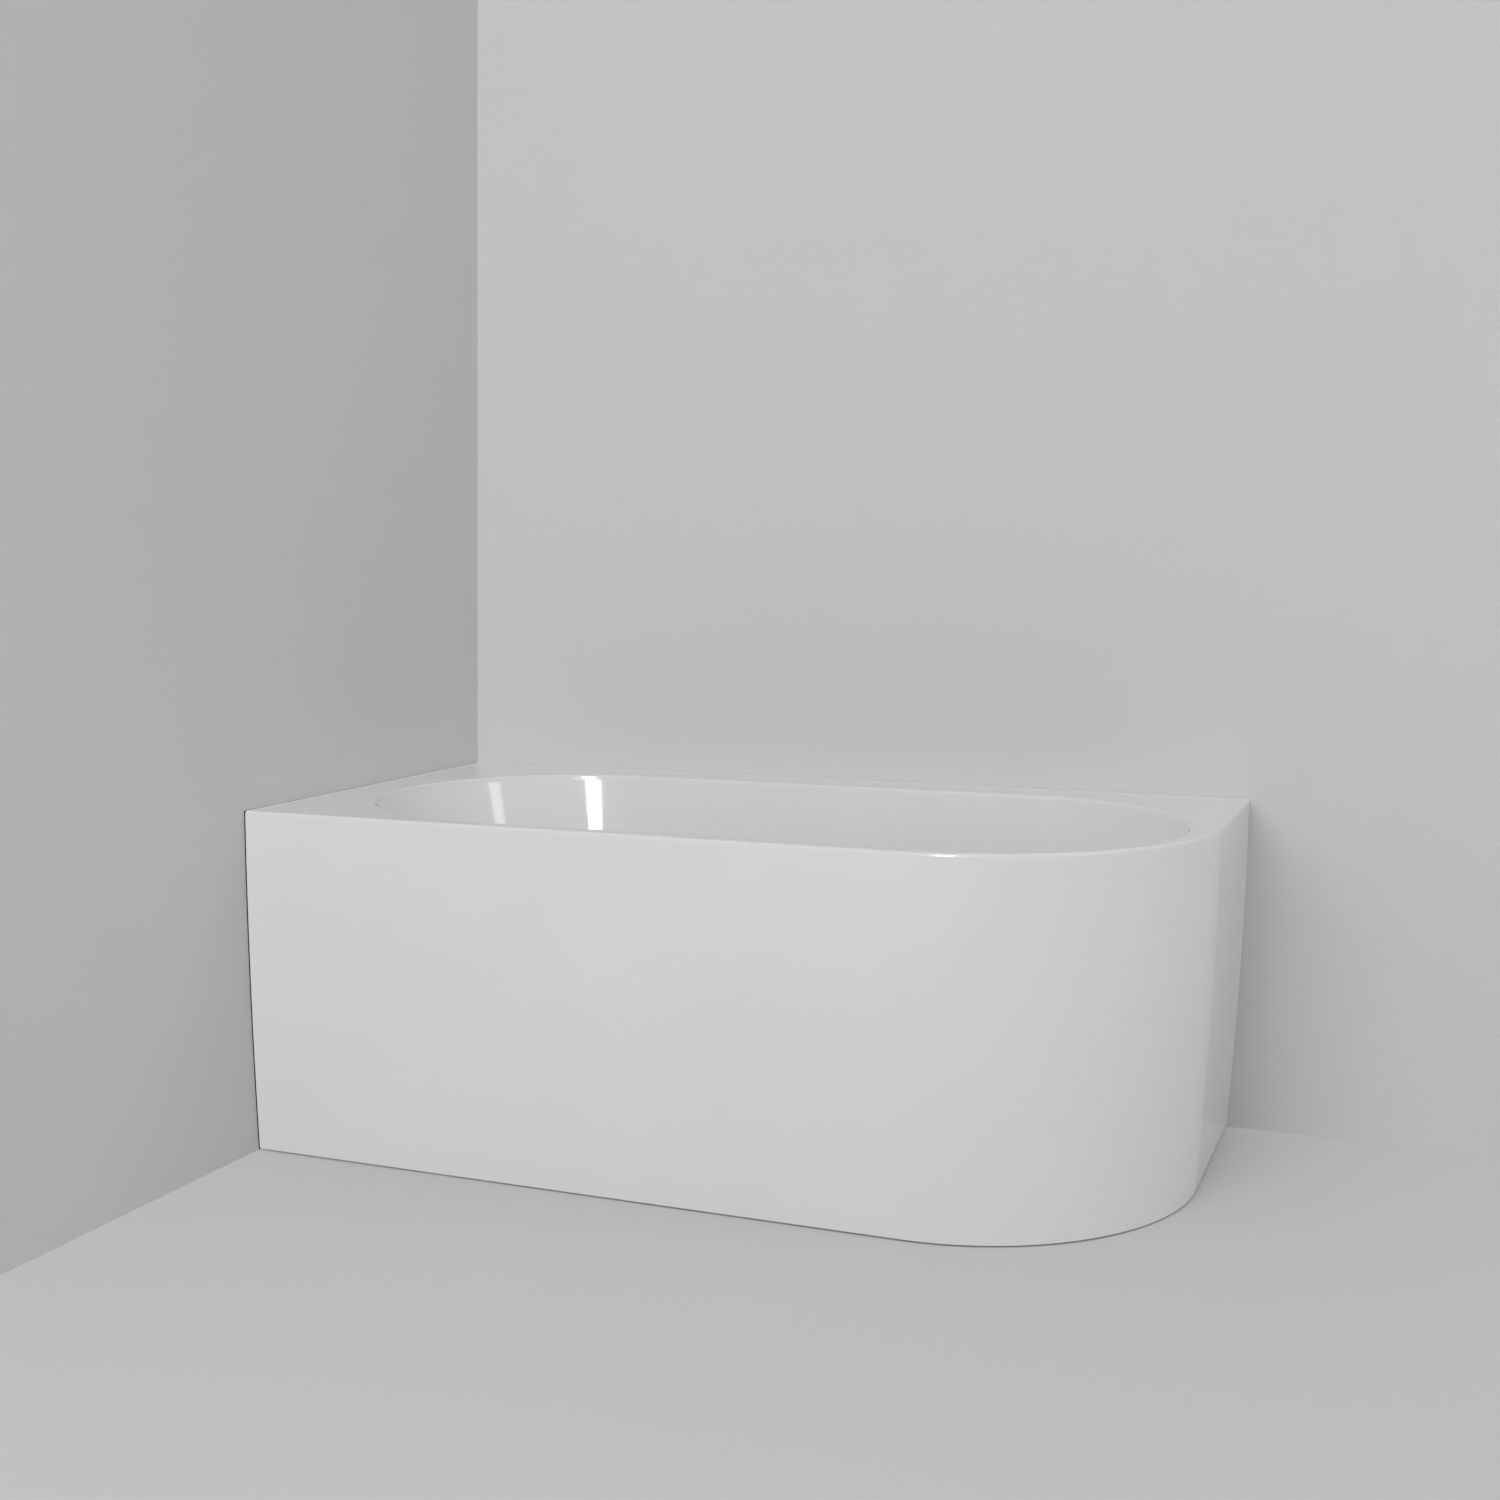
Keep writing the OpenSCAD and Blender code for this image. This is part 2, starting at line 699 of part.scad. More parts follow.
// Domed plug with its stem, and the ring that seals it in the flange
plug_seal_r = 1.5;
module drain_plug() {
    top = flange_z + flange_t;
    low = top + loose;
    cap_r = flange_r - 5;
    skirt_r = throat_r - 1.6;
    groove_z = top - 1.7 - plug_seal_r - 0.1;
    dome = [for (i = [0:6]) let(a = 15 * i) [cap_r - 3 + 3 * sin(a), low + 1.5 + 1.5 * cos(a)]];
    color("gainsboro") at_drain() {
        rotate_extrude() polygon(concat([[0, low + 4.5], [cap_r * 0.6, low + 4]], dome,
            [[cap_r, low], [skirt_r, low], [skirt_r, groove_z], [throat_r - 0.6, groove_z],
                [throat_r - 0.6, groove_z - 2.5], [stem_r, groove_z - 2.5],
                [stem_r, flange_z - stem_l], [0, flange_z - stem_l]]));
    }
}

module plug_seal() {
    color("dimgray") at_drain() translate([0, 0, flange_z + flange_t - 1.7])
        rotate_extrude() translate([throat_r, 0]) circle(plug_seal_r, $fn = 24);
}

// Waste body under the well: collar for the flange, bowl, overflow inlet, dip tube, and a
// socket for the end of the cable
module waste_body() {
    collar_in = thread_r + loose;
    collar_out = collar_in + 3;
    dip_z = cup_z + 12;
    tube_in = dip_r - 2.5;
    bowl_in = bowl_r - bowl_wall;
    rim_r = flange_r + 5;
    color("whitesmoke") at_drain() difference() {
        union() {
            rotate_extrude() polygon([[0, dip_z], [dip_r, dip_z], [dip_r, neck_z],
                [bowl_r, bowl_z], [bowl_r, body_z], [rim_r, body_z], [rim_r, body_z + 4],
                [0, body_z + 4]]);
            translate([0, 0, inlet_z]) rotate([0, 90, 0])
                cylinder(r = inlet_r, h = inlet_x - drain_x);
            translate([0, socket_y, inlet_z]) rotate([0, 90, 0])
                cylinder(r = cable_end_r, h = socket_l);
        }
        rotate_extrude() polygon([[0, dip_z - 1], [tube_in, dip_z - 1], [tube_in, neck_z + 1],
            [bowl_in, bowl_z + 1], [bowl_in, body_z - 1], [collar_out, body_z - 1],
            [collar_out, body_z - 14], [collar_in, body_z - 14], [collar_in, body_z + 5],
            [0, body_z + 5]]);
        translate([bowl_in - 6, 0, inlet_z]) rotate([0, 90, 0])
            cylinder(r = inlet_r - 3, h = inlet_x - drain_x);
    }
}

module waste_body_seal() {
    color("dimgray") at_drain()
        pipe(flange_r + 4, thread_r + 4, body_z + 4 + loose / 2, laminate_z - loose / 2);
}

// Trap: union nut, cup with its side outlet, outlet nut and the outlet pipe to the back wall
module trap_nut() {
    color("whitesmoke") at_drain() difference() {
        union() {
            pipe(dip_r + 11, dip_r + loose, cup_top + cup_neck + loose,
                cup_top + cup_neck + nut_lid);
            pipe(dip_r + 11, dip_r + 7 + loose, cup_top + 0.5, cup_top + cup_neck + loose + weld);
        }
        for (a = [0:30:330]) rotate([0, 0, a]) translate([dip_r + 11.5, 0, 0])
            disc(1.5, cup_top, cup_top + cup_neck + 4);
    }
}

module trap_cup() {
    wall = 3;
    neck_r = dip_r + 7;
    color("whitesmoke") at_drain() difference() {
        union() {
            rotate_extrude() polygon([[0, cup_z], [cup_r - 6, cup_z], [cup_r, cup_z + 6],
                [cup_r, cup_top - 6], [cup_r - 6, cup_top], [neck_r, cup_top],
                [neck_r, cup_top + cup_neck], [0, cup_top + cup_neck]]);
            translate([0, cup_r - 10, outlet_z]) rotate([-90, 0, 0])
                cylinder(r = socket_r, h = 40);
        }
        rotate_extrude() polygon([[0, cup_z + wall], [cup_r - 6 - wall, cup_z + wall],
            [cup_r - wall, cup_z + 6 + wall], [cup_r - wall, cup_top - 6 - wall],
            [cup_r - 6 - wall, cup_top - wall], [0, cup_top - wall]]);
        disc(dip_r + loose, cup_top - wall - 1, cup_top + 10);
        translate([0, cup_r - 14, outlet_z]) rotate([-90, 0, 0])
            cylinder(r = outlet_r + loose, h = 50);
    }
}

socket_end = well_y + cup_r + 30;
pipe_start = socket_end - 22;
// Length of the pipe's free end, from its bead to its chamfer
spigot_l = 50;

module along_outlet(y) {
    translate([drain_x, y, outlet_z]) rotate([-90, 0, 0]) children();
}

module outlet_nut() {
    color("whitesmoke") along_outlet(socket_end - 14) difference() {
        union() {
            pipe(socket_r + 5, socket_r + loose, 0, 14 + loose + weld);
            pipe(socket_r + 5, outlet_r + loose, 14 + loose, 19);
        }
        for (a = [0:30:330]) rotate([0, 0, a]) translate([socket_r + 5.5, 0, 0])
            disc(1.5, -1, 20);
    }
}

module outlet_pipe() {
    wall = 2;
    color("whitesmoke") along_outlet(pipe_start) difference() {
        union() {
            disc(outlet_r, 0, outlet_l - 2);
            translate([0, 0, outlet_l - 2]) cylinder(r1 = outlet_r, r2 = outlet_r - 1, h = 2);
            disc(outlet_r + 1.5, outlet_l - 2 - spigot_l - 3, outlet_l - 2 - spigot_l);
        }
        disc(outlet_r - wall, -1, outlet_l + 1);
    }
}

// Overflow: drum behind the wall, seals, clamping ring with two screws, and the turning knob
module overflow_body() {
    wall = 3;
    drum_front = body_seal_back - loose;
    color("whitesmoke") at_overflow() difference() {
        union() {
            disc(drum_r + 6, drum_front - 3, drum_front);
            disc(drum_r, drum_back, drum_front - 3 + weld);
            translate([0, 0, spout_z]) rotate([0, -90, 0]) cylinder(r = spout_r, h = spout_l);
            difference() {
                translate([0, socket_y, spout_z]) rotate([0, -90, 0])
                    cylinder(r = cable_end_r, h = socket_l);
                disc(drum_r - 1, drum_back - 1, drum_front);
            }
        }
        difference() {
            disc(drum_r - wall, drum_back + wall, drum_front + 1);
            disc(spindle_r + 4, drum_back, drum_back + 12);
            for (a = [0, 180]) rotate([0, 0, a + 90])
                translate([ring_screw_r, 0, 0]) disc(4.5, drum_back, drum_front - 2);
        }
        disc(spindle_r + running, drum_back + wall, 0);
        translate([0, 0, spout_z]) rotate([0, -90, 0])
            cylinder(r = spout_r - 2.5, h = spout_l + 1);
        for (a = [0, 180]) rotate([0, 0, a + 90])
            translate([ring_screw_r, 0, 0]) disc(2, drum_front - 16, 0);
    }
}

ring_screw_r = 17;

module overflow_seal() {
    color("dimgray") at_overflow() pipe(drum_r + 5, drum_r + 1, body_seal_back, laminate_back);
}

module ring_seal() {
    color("dimgray") at_overflow() pipe(drum_r + 1, drum_r - 3, ring_seat - 1, ring_seat);
}

module overflow_ring() {
    drum_front = body_seal_back - loose;
    color("gainsboro") at_overflow() difference() {
        union() {
            disc(drum_r + 1, ring_seat, ring_seat + 2);
            disc(drum_r - 3.5, drum_front + loose, ring_seat + weld);
        }
        difference() {
            disc(drum_r - 6, drum_front - 1, ring_seat + 3);
            for (a = [0, 180]) rotate([0, 0, a + 90])
                box([ring_screw_r - 5, -5, drum_front + loose], [drum_r - 5, 5, ring_seat + 2]);
        }
        for (a = [0, 180]) rotate([0, 0, a + 90])
            translate([ring_screw_r, 0, 0]) disc(2.2, drum_front - 1, ring_seat + 3);
    }
}

module overflow_screws() {
    drum_front = body_seal_back - loose;
    color("silver") at_overflow() for (a = [0, 180]) rotate([0, 0, a + 90])
        translate([ring_screw_r, 0, 0]) {
            disc(1.9, drum_front - 14, ring_seat + 2 + loose + weld);
            disc(3.8, ring_seat + 2 + loose, knob_seat - 1);
        }
}

// Chromed knob: a dished cap with a grip bar, on a spindle that reaches into the drum
module overflow_knob() {
    face = knob_seat + 11;
    round_r = 4;
    edge = [for (i = [0:6]) let(a = 15 * i)
        [knob_r - round_r + round_r * cos(90 - a), face - round_r + round_r * sin(90 - a)]];
    color("gainsboro") at_overflow() {
        difference() {
            rotate_extrude() polygon(concat([[0, face]], edge, [[knob_r, knob_seat],
                [knob_r - 2.5, knob_seat], [knob_r - 2.5, face - 3], [0, face - 3]]));
            for (a = [-30:15:30]) rotate([0, 0, 180 + a])
                box([knob_r - 5, -2, knob_seat - 1], [knob_r + 1, 2, knob_seat + 3]);
        }
        disc(spindle_r, drum_back + 5, face - 2);
        intersection() {
            translate([-knob_r, 0, 0]) rotate([90, 0, 90]) linear_extrude(2 * knob_r)
                polygon([[-5, face - 1], [5, face - 1], [3, face + 8], [-3, face + 8]]);
            translate([0, 0, face - 1]) cylinder(r1 = knob_r - 6, r2 = knob_r - 9, h = 9);
        }
    }
}

module overflow_hose() {
    steps = 2 * hose_ribs;
    lining = 24;
    color("lightgray") skin(concat(
        [for (i = [0:steps]) tube_ring(hose_points, i / steps,
            hose_r + (i % 2 == 1 ? hose_rib : 0))],
        [for (i = [lining:-1:0]) tube_ring(hose_points, i / lining, hose_r - 2)]), true);
}

// Nuts that hold the hose's ends on the spout and on the inlet
module hose_nuts() {
    module nut() {
        difference() {
            union() {
                pipe(hose_nut_r, inlet_r + loose, 0, 12);
                pipe(hose_nut_r, hose_r + hose_rib + 0.3, 11, 14);
            }
            for (a = [0:30:330]) rotate([0, 0, a]) translate([hose_nut_r + 0.5, 0, 0])
                disc(1.2, -1, 15);
        }
    }
    color("whitesmoke") {
        translate([inlet_x - 10, well_y, inlet_z]) rotate([0, 90, 0]) nut();
        at_overflow() translate([-spout_l + 10, 0, spout_z]) rotate([0, -90, 0]) nut();
    }
}

module bowden_cable() {
    steps = 40;
    color("black") skin([for (i = [0:steps]) tube_ring(cable_points, i / steps, cable_r)], false);
}

// Wall anchors: a screwed plate below the lip, whose hook stands inside the lip. In their own
// frame the wall is towards +Y at y = 0, and z = 0 is the lower edge of the lip
anchor_w = 60;
anchor_h = 45;
anchor_hole_gap = 36;
anchor_hole_r = 3;
hook_h = 14;

module wall_anchor() {
    inner = -shell_t - loose - plate_t;
    color("silver") difference() {
        translate([-anchor_w / 2, 0, 0]) rotate([90, 0, 90]) linear_extrude(anchor_w)
            polygon([[0, -bond], [0, -anchor_h], [-plate_t, -anchor_h],
                [-plate_t, -bond - plate_t], [inner, -bond - plate_t], [inner, hook_h],
                [inner + plate_t, hook_h], [inner + plate_t, -bond]]);
        for (x = [-1, 1]) translate([x * anchor_hole_gap / 2, 1, -anchor_h / 2])
            rotate([90, 0, 0]) cylinder(r = anchor_hole_r, h = plate_t + 2);
    }
}

module left_wall_anchor() {
    translate([left_x, well_y, bath_h - lip_h]) rotate([0, 0, 90]) wall_anchor();
}

anchor_spread = 560;

module back_wall_anchor(side) {
    translate([middle_beam_x + side * anchor_spread / 2, back_y, bath_h - lip_h]) wall_anchor();
}

module back_wall_anchor_1() {
    back_wall_anchor(-1);
}

module back_wall_anchor_2() {
    back_wall_anchor(1);
}

bath_shell();
fibreglass_backing();
apron();
base_board();
back_batten();
left_batten();
front_rail();
back_rail();
left_beam();
middle_beam();
right_beam();
front_left_post();
back_left_post();
back_middle_post();
back_right_post();
tube_caps();
board_screws();
left_apron_bracket();
middle_apron_bracket();
corner_apron_bracket();
end_apron_bracket();
bracket_screws();
weld_nuts();
lock_nuts();
for (k = [0:5]) {
    foot_rod(k);
    foot_pad(k);
}
waste_flange();
flange_seal();
drain_plug();
plug_seal();
waste_body();
waste_body_seal();
trap_nut();
trap_cup();
outlet_nut();
outlet_pipe();
overflow_body();
overflow_seal();
ring_seal();
overflow_ring();
overflow_screws();
overflow_knob();
overflow_hose();
hose_nuts();
bowden_cable();
left_wall_anchor();
back_wall_anchor_1();
back_wall_anchor_2();
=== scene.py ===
import json
import math

import bmesh
import bpy
from mathutils import Matrix, Quaternion, Vector, noise
from mathutils.geometry import tessellate_polygon

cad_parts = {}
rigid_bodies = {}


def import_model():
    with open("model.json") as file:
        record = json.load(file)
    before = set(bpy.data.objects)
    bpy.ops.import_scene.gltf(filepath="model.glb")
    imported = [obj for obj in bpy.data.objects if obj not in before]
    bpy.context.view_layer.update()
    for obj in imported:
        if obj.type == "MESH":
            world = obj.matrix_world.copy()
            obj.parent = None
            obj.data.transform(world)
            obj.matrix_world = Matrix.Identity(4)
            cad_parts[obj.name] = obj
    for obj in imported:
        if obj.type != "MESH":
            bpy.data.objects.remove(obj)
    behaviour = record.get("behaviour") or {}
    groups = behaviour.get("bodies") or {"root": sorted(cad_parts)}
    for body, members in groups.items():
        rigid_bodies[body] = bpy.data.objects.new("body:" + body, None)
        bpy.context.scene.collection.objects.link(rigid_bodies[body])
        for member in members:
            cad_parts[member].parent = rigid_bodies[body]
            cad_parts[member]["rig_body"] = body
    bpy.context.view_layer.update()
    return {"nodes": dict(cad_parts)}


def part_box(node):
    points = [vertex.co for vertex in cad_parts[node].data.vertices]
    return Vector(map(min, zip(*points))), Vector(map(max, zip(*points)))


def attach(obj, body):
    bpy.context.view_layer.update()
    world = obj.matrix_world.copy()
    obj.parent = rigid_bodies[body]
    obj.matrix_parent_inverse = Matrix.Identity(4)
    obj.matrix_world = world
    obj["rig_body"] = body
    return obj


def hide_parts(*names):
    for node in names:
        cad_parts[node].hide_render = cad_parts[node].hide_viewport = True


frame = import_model()

# Camera
# The photograph's viewpoint: a level camera at standing chest height, three metres in front of
# the rounded end. Its picture is shifted down instead of tilted, so upright edges stay upright.
camera = bpy.data.objects.new("camera", bpy.data.cameras.new("camera"))
bpy.context.scene.collection.objects.link(camera)
camera.location = (1.2034, -3.0729, 1.0506)
camera.rotation_euler = (math.radians(90), 0, math.radians(21.66))
camera.data.sensor_width = 36
camera.data.lens = 44.61
camera.data.shift_y = -0.1326
bpy.context.scene.camera = camera
bpy.context.scene.view_settings.view_transform = "Standard"

# Room
# A bathroom corner of matt painted plaster: the bath stands in it, against the left wall and
# the back wall. Seen from behind, a wall lets the view through to the bath.


def colour(code):
    """An sRGB hex value as linear red, green, blue and alpha."""
    parts = [int(code[i:i + 2], 16) / 255 for i in (1, 3, 5)]
    return [c / 12.92 if c <= 0.04045 else ((c + 0.055) / 1.055) ** 2.4 for c in parts] + [1.0]


def add(tree, kind, inputs=None, **settings):
    """A node with its settings; each input gets a number, a colour or another node's output."""
    node = tree.nodes.new(kind)
    for key, value in settings.items():
        setattr(node, key, value)
    for key, value in (inputs or {}).items():
        if isinstance(value, bpy.types.NodeSocket):
            tree.links.new(value, node.inputs[key])
        else:
            node.inputs[key].default_value = value
    return node


def finish(name):
    """A material with only its shader and its output, ready for the finish's own nodes."""
    material = bpy.data.materials.new(name)
    material.use_nodes = True
    tree = material.node_tree
    tree.nodes.clear()
    shader = add(tree, "ShaderNodeBsdfPrincipled")
    add(tree, "ShaderNodeOutputMaterial", {"Surface": shader.outputs[0]})
    return material, tree, shader


def linked(name, mesh, *materials):
    """An object for a mesh, with its materials."""
    piece = bpy.data.objects.new(name, mesh)
    bpy.context.scene.collection.objects.link(piece)
    for material in materials:
        mesh.materials.append(material)
    return piece


# Matt emulsion paint on smooth plaster: the roller leaves a faint stipple
M = "ShaderNodeMath"
PAINT = colour("#CCCCCC")
plaster, tree, shader = finish("matt_painted_plaster")
place = add(tree, "ShaderNodeTexCoord").outputs["Object"]
stipple = add(tree, "ShaderNodeTexNoise", {"Vector": place, "Scale": 160.0, "Detail": 3.0})
shader.inputs["Base Color"].default_value = PAINT
shader.inputs["Roughness"].default_value = 0.9
shader.inputs["Specular IOR Level"].default_value = 0.15
bump = add(tree, "ShaderNodeBump", {"Height": stipple.outputs[0], "Strength": 0.15,
                                    "Distance": 0.0003})
tree.links.new(bump.outputs[0], shader.inputs["Normal"])

# Screed trowelled smooth and sealed: the same matt, a shade darker
screed = plaster.copy()
screed.name = "sealed_pale_screed"
shader = next(n for n in screed.node_tree.nodes if n.type == "BSDF_PRINCIPLED")
shader.inputs["Base Color"].default_value = colour("#CACACA")

# The walls' plaster shows only from inside the room, to the camera and in reflections. Other
# light passes through it, and so do rays from closer than 20 mm.
one_sided = plaster.copy()
one_sided.name = "matt_painted_plaster_seen_from_inside"
tree = one_sided.node_tree
shader = next(n for n in tree.nodes if n.type == "BSDF_PRINCIPLED")
output = next(n for n in tree.nodes if n.type == "OUTPUT_MATERIAL")
ray = add(tree, "ShaderNodeLightPath").outputs
seen = add(tree, M, {0: ray["Is Camera Ray"], 1: ray["Is Glossy Ray"]},
           operation="MAXIMUM").outputs[0]
seen = add(tree, M, {0: seen, 1: ray["Is Transmission Ray"]}, operation="MAXIMUM").outputs[0]
outside = add(tree, "ShaderNodeNewGeometry").outputs["Backfacing"]
inside = add(tree, M, {0: 1.0, 1: outside}, operation="SUBTRACT").outputs[0]
far = add(tree, M, {0: ray["Ray Length"], 1: 0.02}, operation="GREATER_THAN").outputs[0]
shown = add(tree, M, {0: seen, 1: inside}, operation="MULTIPLY").outputs[0]
shown = add(tree, M, {0: shown, 1: far}, operation="MULTIPLY").outputs[0]
clear = add(tree, "ShaderNodeBsdfTransparent").outputs[0]
mix = add(tree, "ShaderNodeMixShader", {0: shown, 1: clear, 2: shader.outputs[0]})
tree.links.new(mix.outputs[0], output.inputs["Surface"])

# The bath's main sizes, which the room needs: its box, the radius of its edges, and how far its
# apron leans in at the floor and bulges halfway up
LENGTH, WIDTH, HEIGHT = 1.600, 0.800, 0.600
LEFT, FRONT, BACK = -LENGTH / 2, -WIDTH / 2, WIDTH / 2
EDGE, RAKE, BULGE = 0.008, 0.042, 0.005
WALL_X, WALL_Y = LEFT - 0.0025, BACK + 0.0015

# The light that the walls let through would fill the narrow joint beside the bath. A line of
# painted shade, dark grey in the left wall's colour, stands in for the joint's shade: up behind
# the apron's front edge, and along the deck.
HALF_SHADE_LINE, SHADE_LINE_TOP = 0.004, HEIGHT - 0.0002
plaster_with_painted_shade = one_sided.copy()
plaster_with_painted_shade.name = "matt_plaster_with_painted_joint_shade"
tree = plaster_with_painted_shade.node_tree
shader = next(n for n in tree.nodes if n.type == "BSDF_PRINCIPLED")
place = add(tree, "ShaderNodeTexCoord").outputs["Object"]
at = add(tree, "ShaderNodeSeparateXYZ", {"Vector": place}).outputs
share = add(tree, M, {0: at["Z"], 1: HEIGHT - EDGE}, operation="DIVIDE").outputs[0]
below = add(tree, M, {0: 1.0, 1: share}, operation="SUBTRACT").outputs[0]
lean = add(tree, M, {0: share, 1: -4 * BULGE, 2: RAKE}, operation="MULTIPLY_ADD").outputs[0]
middle = add(tree, M, {0: lean, 1: below, 2: FRONT + HALF_SHADE_LINE},
             operation="MULTIPLY_ADD").outputs[0]
shade_up_the_edge = add(tree, M, {0: at["Y"], 1: middle, 2: HALF_SHADE_LINE}, operation="COMPARE").outputs[0]
lower = add(tree, M, {0: at["Z"], 1: SHADE_LINE_TOP}, operation="LESS_THAN").outputs[0]
shade_up_the_edge = add(tree, M, {0: shade_up_the_edge, 1: lower}, operation="MULTIPLY").outputs[0]
level = add(tree, M, {0: at["Z"], 1: SHADE_LINE_TOP - HALF_SHADE_LINE, 2: HALF_SHADE_LINE},
            operation="COMPARE").outputs[0]
behind = add(tree, M, {0: at["Y"], 1: middle}, operation="GREATER_THAN").outputs[0]
painted_joint_shade = add(tree, M, {0: level, 1: behind, 2: shade_up_the_edge}, operation="MULTIPLY_ADD",
            use_clamp=True).outputs[0]
# Painted shade: inside the line the plaster's colour turns dark grey
tint = add(tree, "ShaderNodeMix", {"Factor": painted_joint_shade, "A": PAINT, "B": colour("#2A2A2A")},
           data_type="RGBA")
tree.links.new(tint.outputs["Result"], shader.inputs["Base Color"])


def flat(name, corners, material):
    """A flat four-cornered piece of the room."""
    mesh = bpy.data.meshes.new(name)
    mesh.from_pydata(corners, [], [(0, 1, 2, 3)])
    return linked(name, mesh, material)


FLOOR_REACH, WALL_REACH, CEILING = 9, 5, 4
floor = flat("floor", [(x * FLOOR_REACH, y * FLOOR_REACH, 0)
                       for x, y in ((-1, -1), (1, -1), (1, 1), (-1, 1))], screed)
# The left wall carries the line of painted shade beside the bath
left_wall = flat("left_wall", [(WALL_X, WALL_Y, CEILING), (WALL_X, -WALL_REACH, CEILING),
                               (WALL_X, -WALL_REACH, 0), (WALL_X, WALL_Y, 0)], plaster_with_painted_shade)
back_wall = flat("back_wall", [(WALL_REACH, WALL_Y, CEILING), (WALL_X, WALL_Y, CEILING),
                               (WALL_X, WALL_Y, 0), (WALL_REACH, WALL_Y, 0)], one_sided)

# Light
# Plain soft studio light: a pale room all round, a large softbox and two fill lamps that light
# without showing, and two long narrow lamps, a little slanted, that only show: they are the
# bright bars on the inside of the well. A far one puts the glint on the rim of the corner.
world = bpy.data.worlds.new("pale_room")
bpy.context.scene.world = world
world.use_nodes = True
tree = world.node_tree
way = add(tree, "ShaderNodeTexCoord").outputs["Generated"]
rise = add(tree, "ShaderNodeSeparateXYZ", {"Vector": way}).outputs["Z"]
fade = add(tree, "ShaderNodeMix", {"Factor": rise, "A": colour("#D4D4D4"),
                                   "B": colour("#C8C8C8")}, data_type="RGBA")
tree.links.new(fade.outputs["Result"], tree.nodes["Background"].inputs["Color"])
tree.nodes["Background"].inputs["Strength"].default_value = 1.0


def lamp(name, place, target, width, height, power, roll=0.0):
    """A flat rectangular lamp at a place, turned to a target and rolled by some degrees."""
    data = bpy.data.lights.new(name, "AREA")
    data.shape = "RECTANGLE"
    data.size = width
    data.size_y = height
    data.energy = power
    made = bpy.data.objects.new(name, data)
    bpy.context.scene.collection.objects.link(made)
    made.location = place
    way = (Vector(target) - Vector(place)).to_track_quat("-Z", "Y")
    made.rotation_euler = (way @ Quaternion((0, 0, 1), math.radians(roll))).to_euler()
    made.visible_camera = False
    return made


softbox = lamp("softbox", (-0.6, -5.2, 2.9), (0, 0, 0.4), 3.0, 2.0, 85)
front_fill = lamp("front_fill", (0.35, -3.6, 1.95), (-0.45, 0.28, 0.5), 0.6, 2.3, 10)
side_fill = lamp("side_fill", (3.2, 0.0, 1.7), (-0.6, 0.1, 0.5), 1.2, 2.0, 13)
for fill in (softbox, front_fill, side_fill):
    fill.visible_glossy = False
front_strip = lamp("front_strip", (0.99, -7.13, 3.19), (-0.465, 0.28, 0.545), 3.0, 0.33, 80, 6.7)
side_strip = lamp("side_strip", (5.99, -0.84, 4.95), (-0.62, 0.17, 0.55), 2.4, 0.36, 13, -19.7)
front_rim = lamp("front_rim_light", (1.5, -14.4, 12.4), (0.45, -0.39, 0.6), 2.3, 6.0, 4600)
for strip in (front_strip, side_strip, front_rim):
    strip.visible_diffuse = False

# Bath shell
# The bather's side: one sheet of white cast acrylic, heated and drawn by vacuum over a mould,
# then trimmed. Its flat deck rolls over at the front and the rounded end, turns down in a lip
# along the walls, and drops into a well with a sloping backrest.
RIGHT, CORNER = LENGTH / 2, 0.430
CORNER_X, CORNER_Y = RIGHT - CORNER, FRONT + CORNER
DECK_EDGE = CORNER - EDGE - 0.001
SEAM_Z, LIP_Z = HEIGHT - 0.020, HEIGHT - 0.030

# The sheet's thickness, the radii of its rolled rim and of its folds, and half the depth over
# which the slope of the well's ends begins
SHELL, ROLL, FOLD, EASE = 0.005, 0.0055, 0.0008, 0.001

# The well: a stadium in plan, its walls leaning at three angles, with a rounded sole
WELL_R, WELL_Y = 0.333, -0.030
WELL_LEFT, WELL_RIGHT = -0.375, 0.420
WELL_DEPTH, SOLE_R = 0.435, 0.110
SIDE, FOOT, BACKREST = math.radians(7), math.radians(16), math.radians(26)
BACK_LEAN = math.tan(BACKREST) - math.tan(SIDE)
FOOT_LEAN = math.tan(FOOT) - math.tan(SIDE)
WALL_TOP = (EDGE * (math.cos(SIDE) - 1), EDGE * (1 - math.sin(SIDE)))
WALL_RUN = (WELL_DEPTH - SOLE_R * (1 - math.sin(SIDE)) - WALL_TOP[1]) / math.cos(SIDE)
SOLE = (WALL_TOP[0] + WALL_RUN * math.sin(SIDE) + SOLE_R * math.cos(SIDE), WELL_DEPTH - SOLE_R)

# The drain's and the overflow's places, with the radii of their holes and of the seats round them
DRAIN = Vector((0.400, WELL_Y, 0.162))
OVERFLOW_DEPTH, TILT = 0.080, FOOT - math.pi / 2
OVERFLOW = Vector((WELL_RIGHT + WELL_R - WALL_TOP[0]
                   - (OVERFLOW_DEPTH - WALL_TOP[1]) * math.tan(SIDE)
                   - FOOT_LEAN * (OVERFLOW_DEPTH - EDGE), WELL_Y, HEIGHT - OVERFLOW_DEPTH))
AT_DRAIN = Matrix.Translation(DRAIN)
AT_OVERFLOW = Matrix.Translation(OVERFLOW) @ Matrix.Rotation(TILT, 4, "Y")
DRAIN_HOLE, DRAIN_SEAT, OVERFLOW_HOLE, OVERFLOW_SEAT = 0.025, 0.038, 0.025, 0.030


def apron_s(z):
    """How far the raked and slightly bulging front stands from the corner's centre."""
    u = z / (HEIGHT - EDGE)
    return CORNER - RAKE * (1 - u) + 4 * BULGE * u * (1 - u)


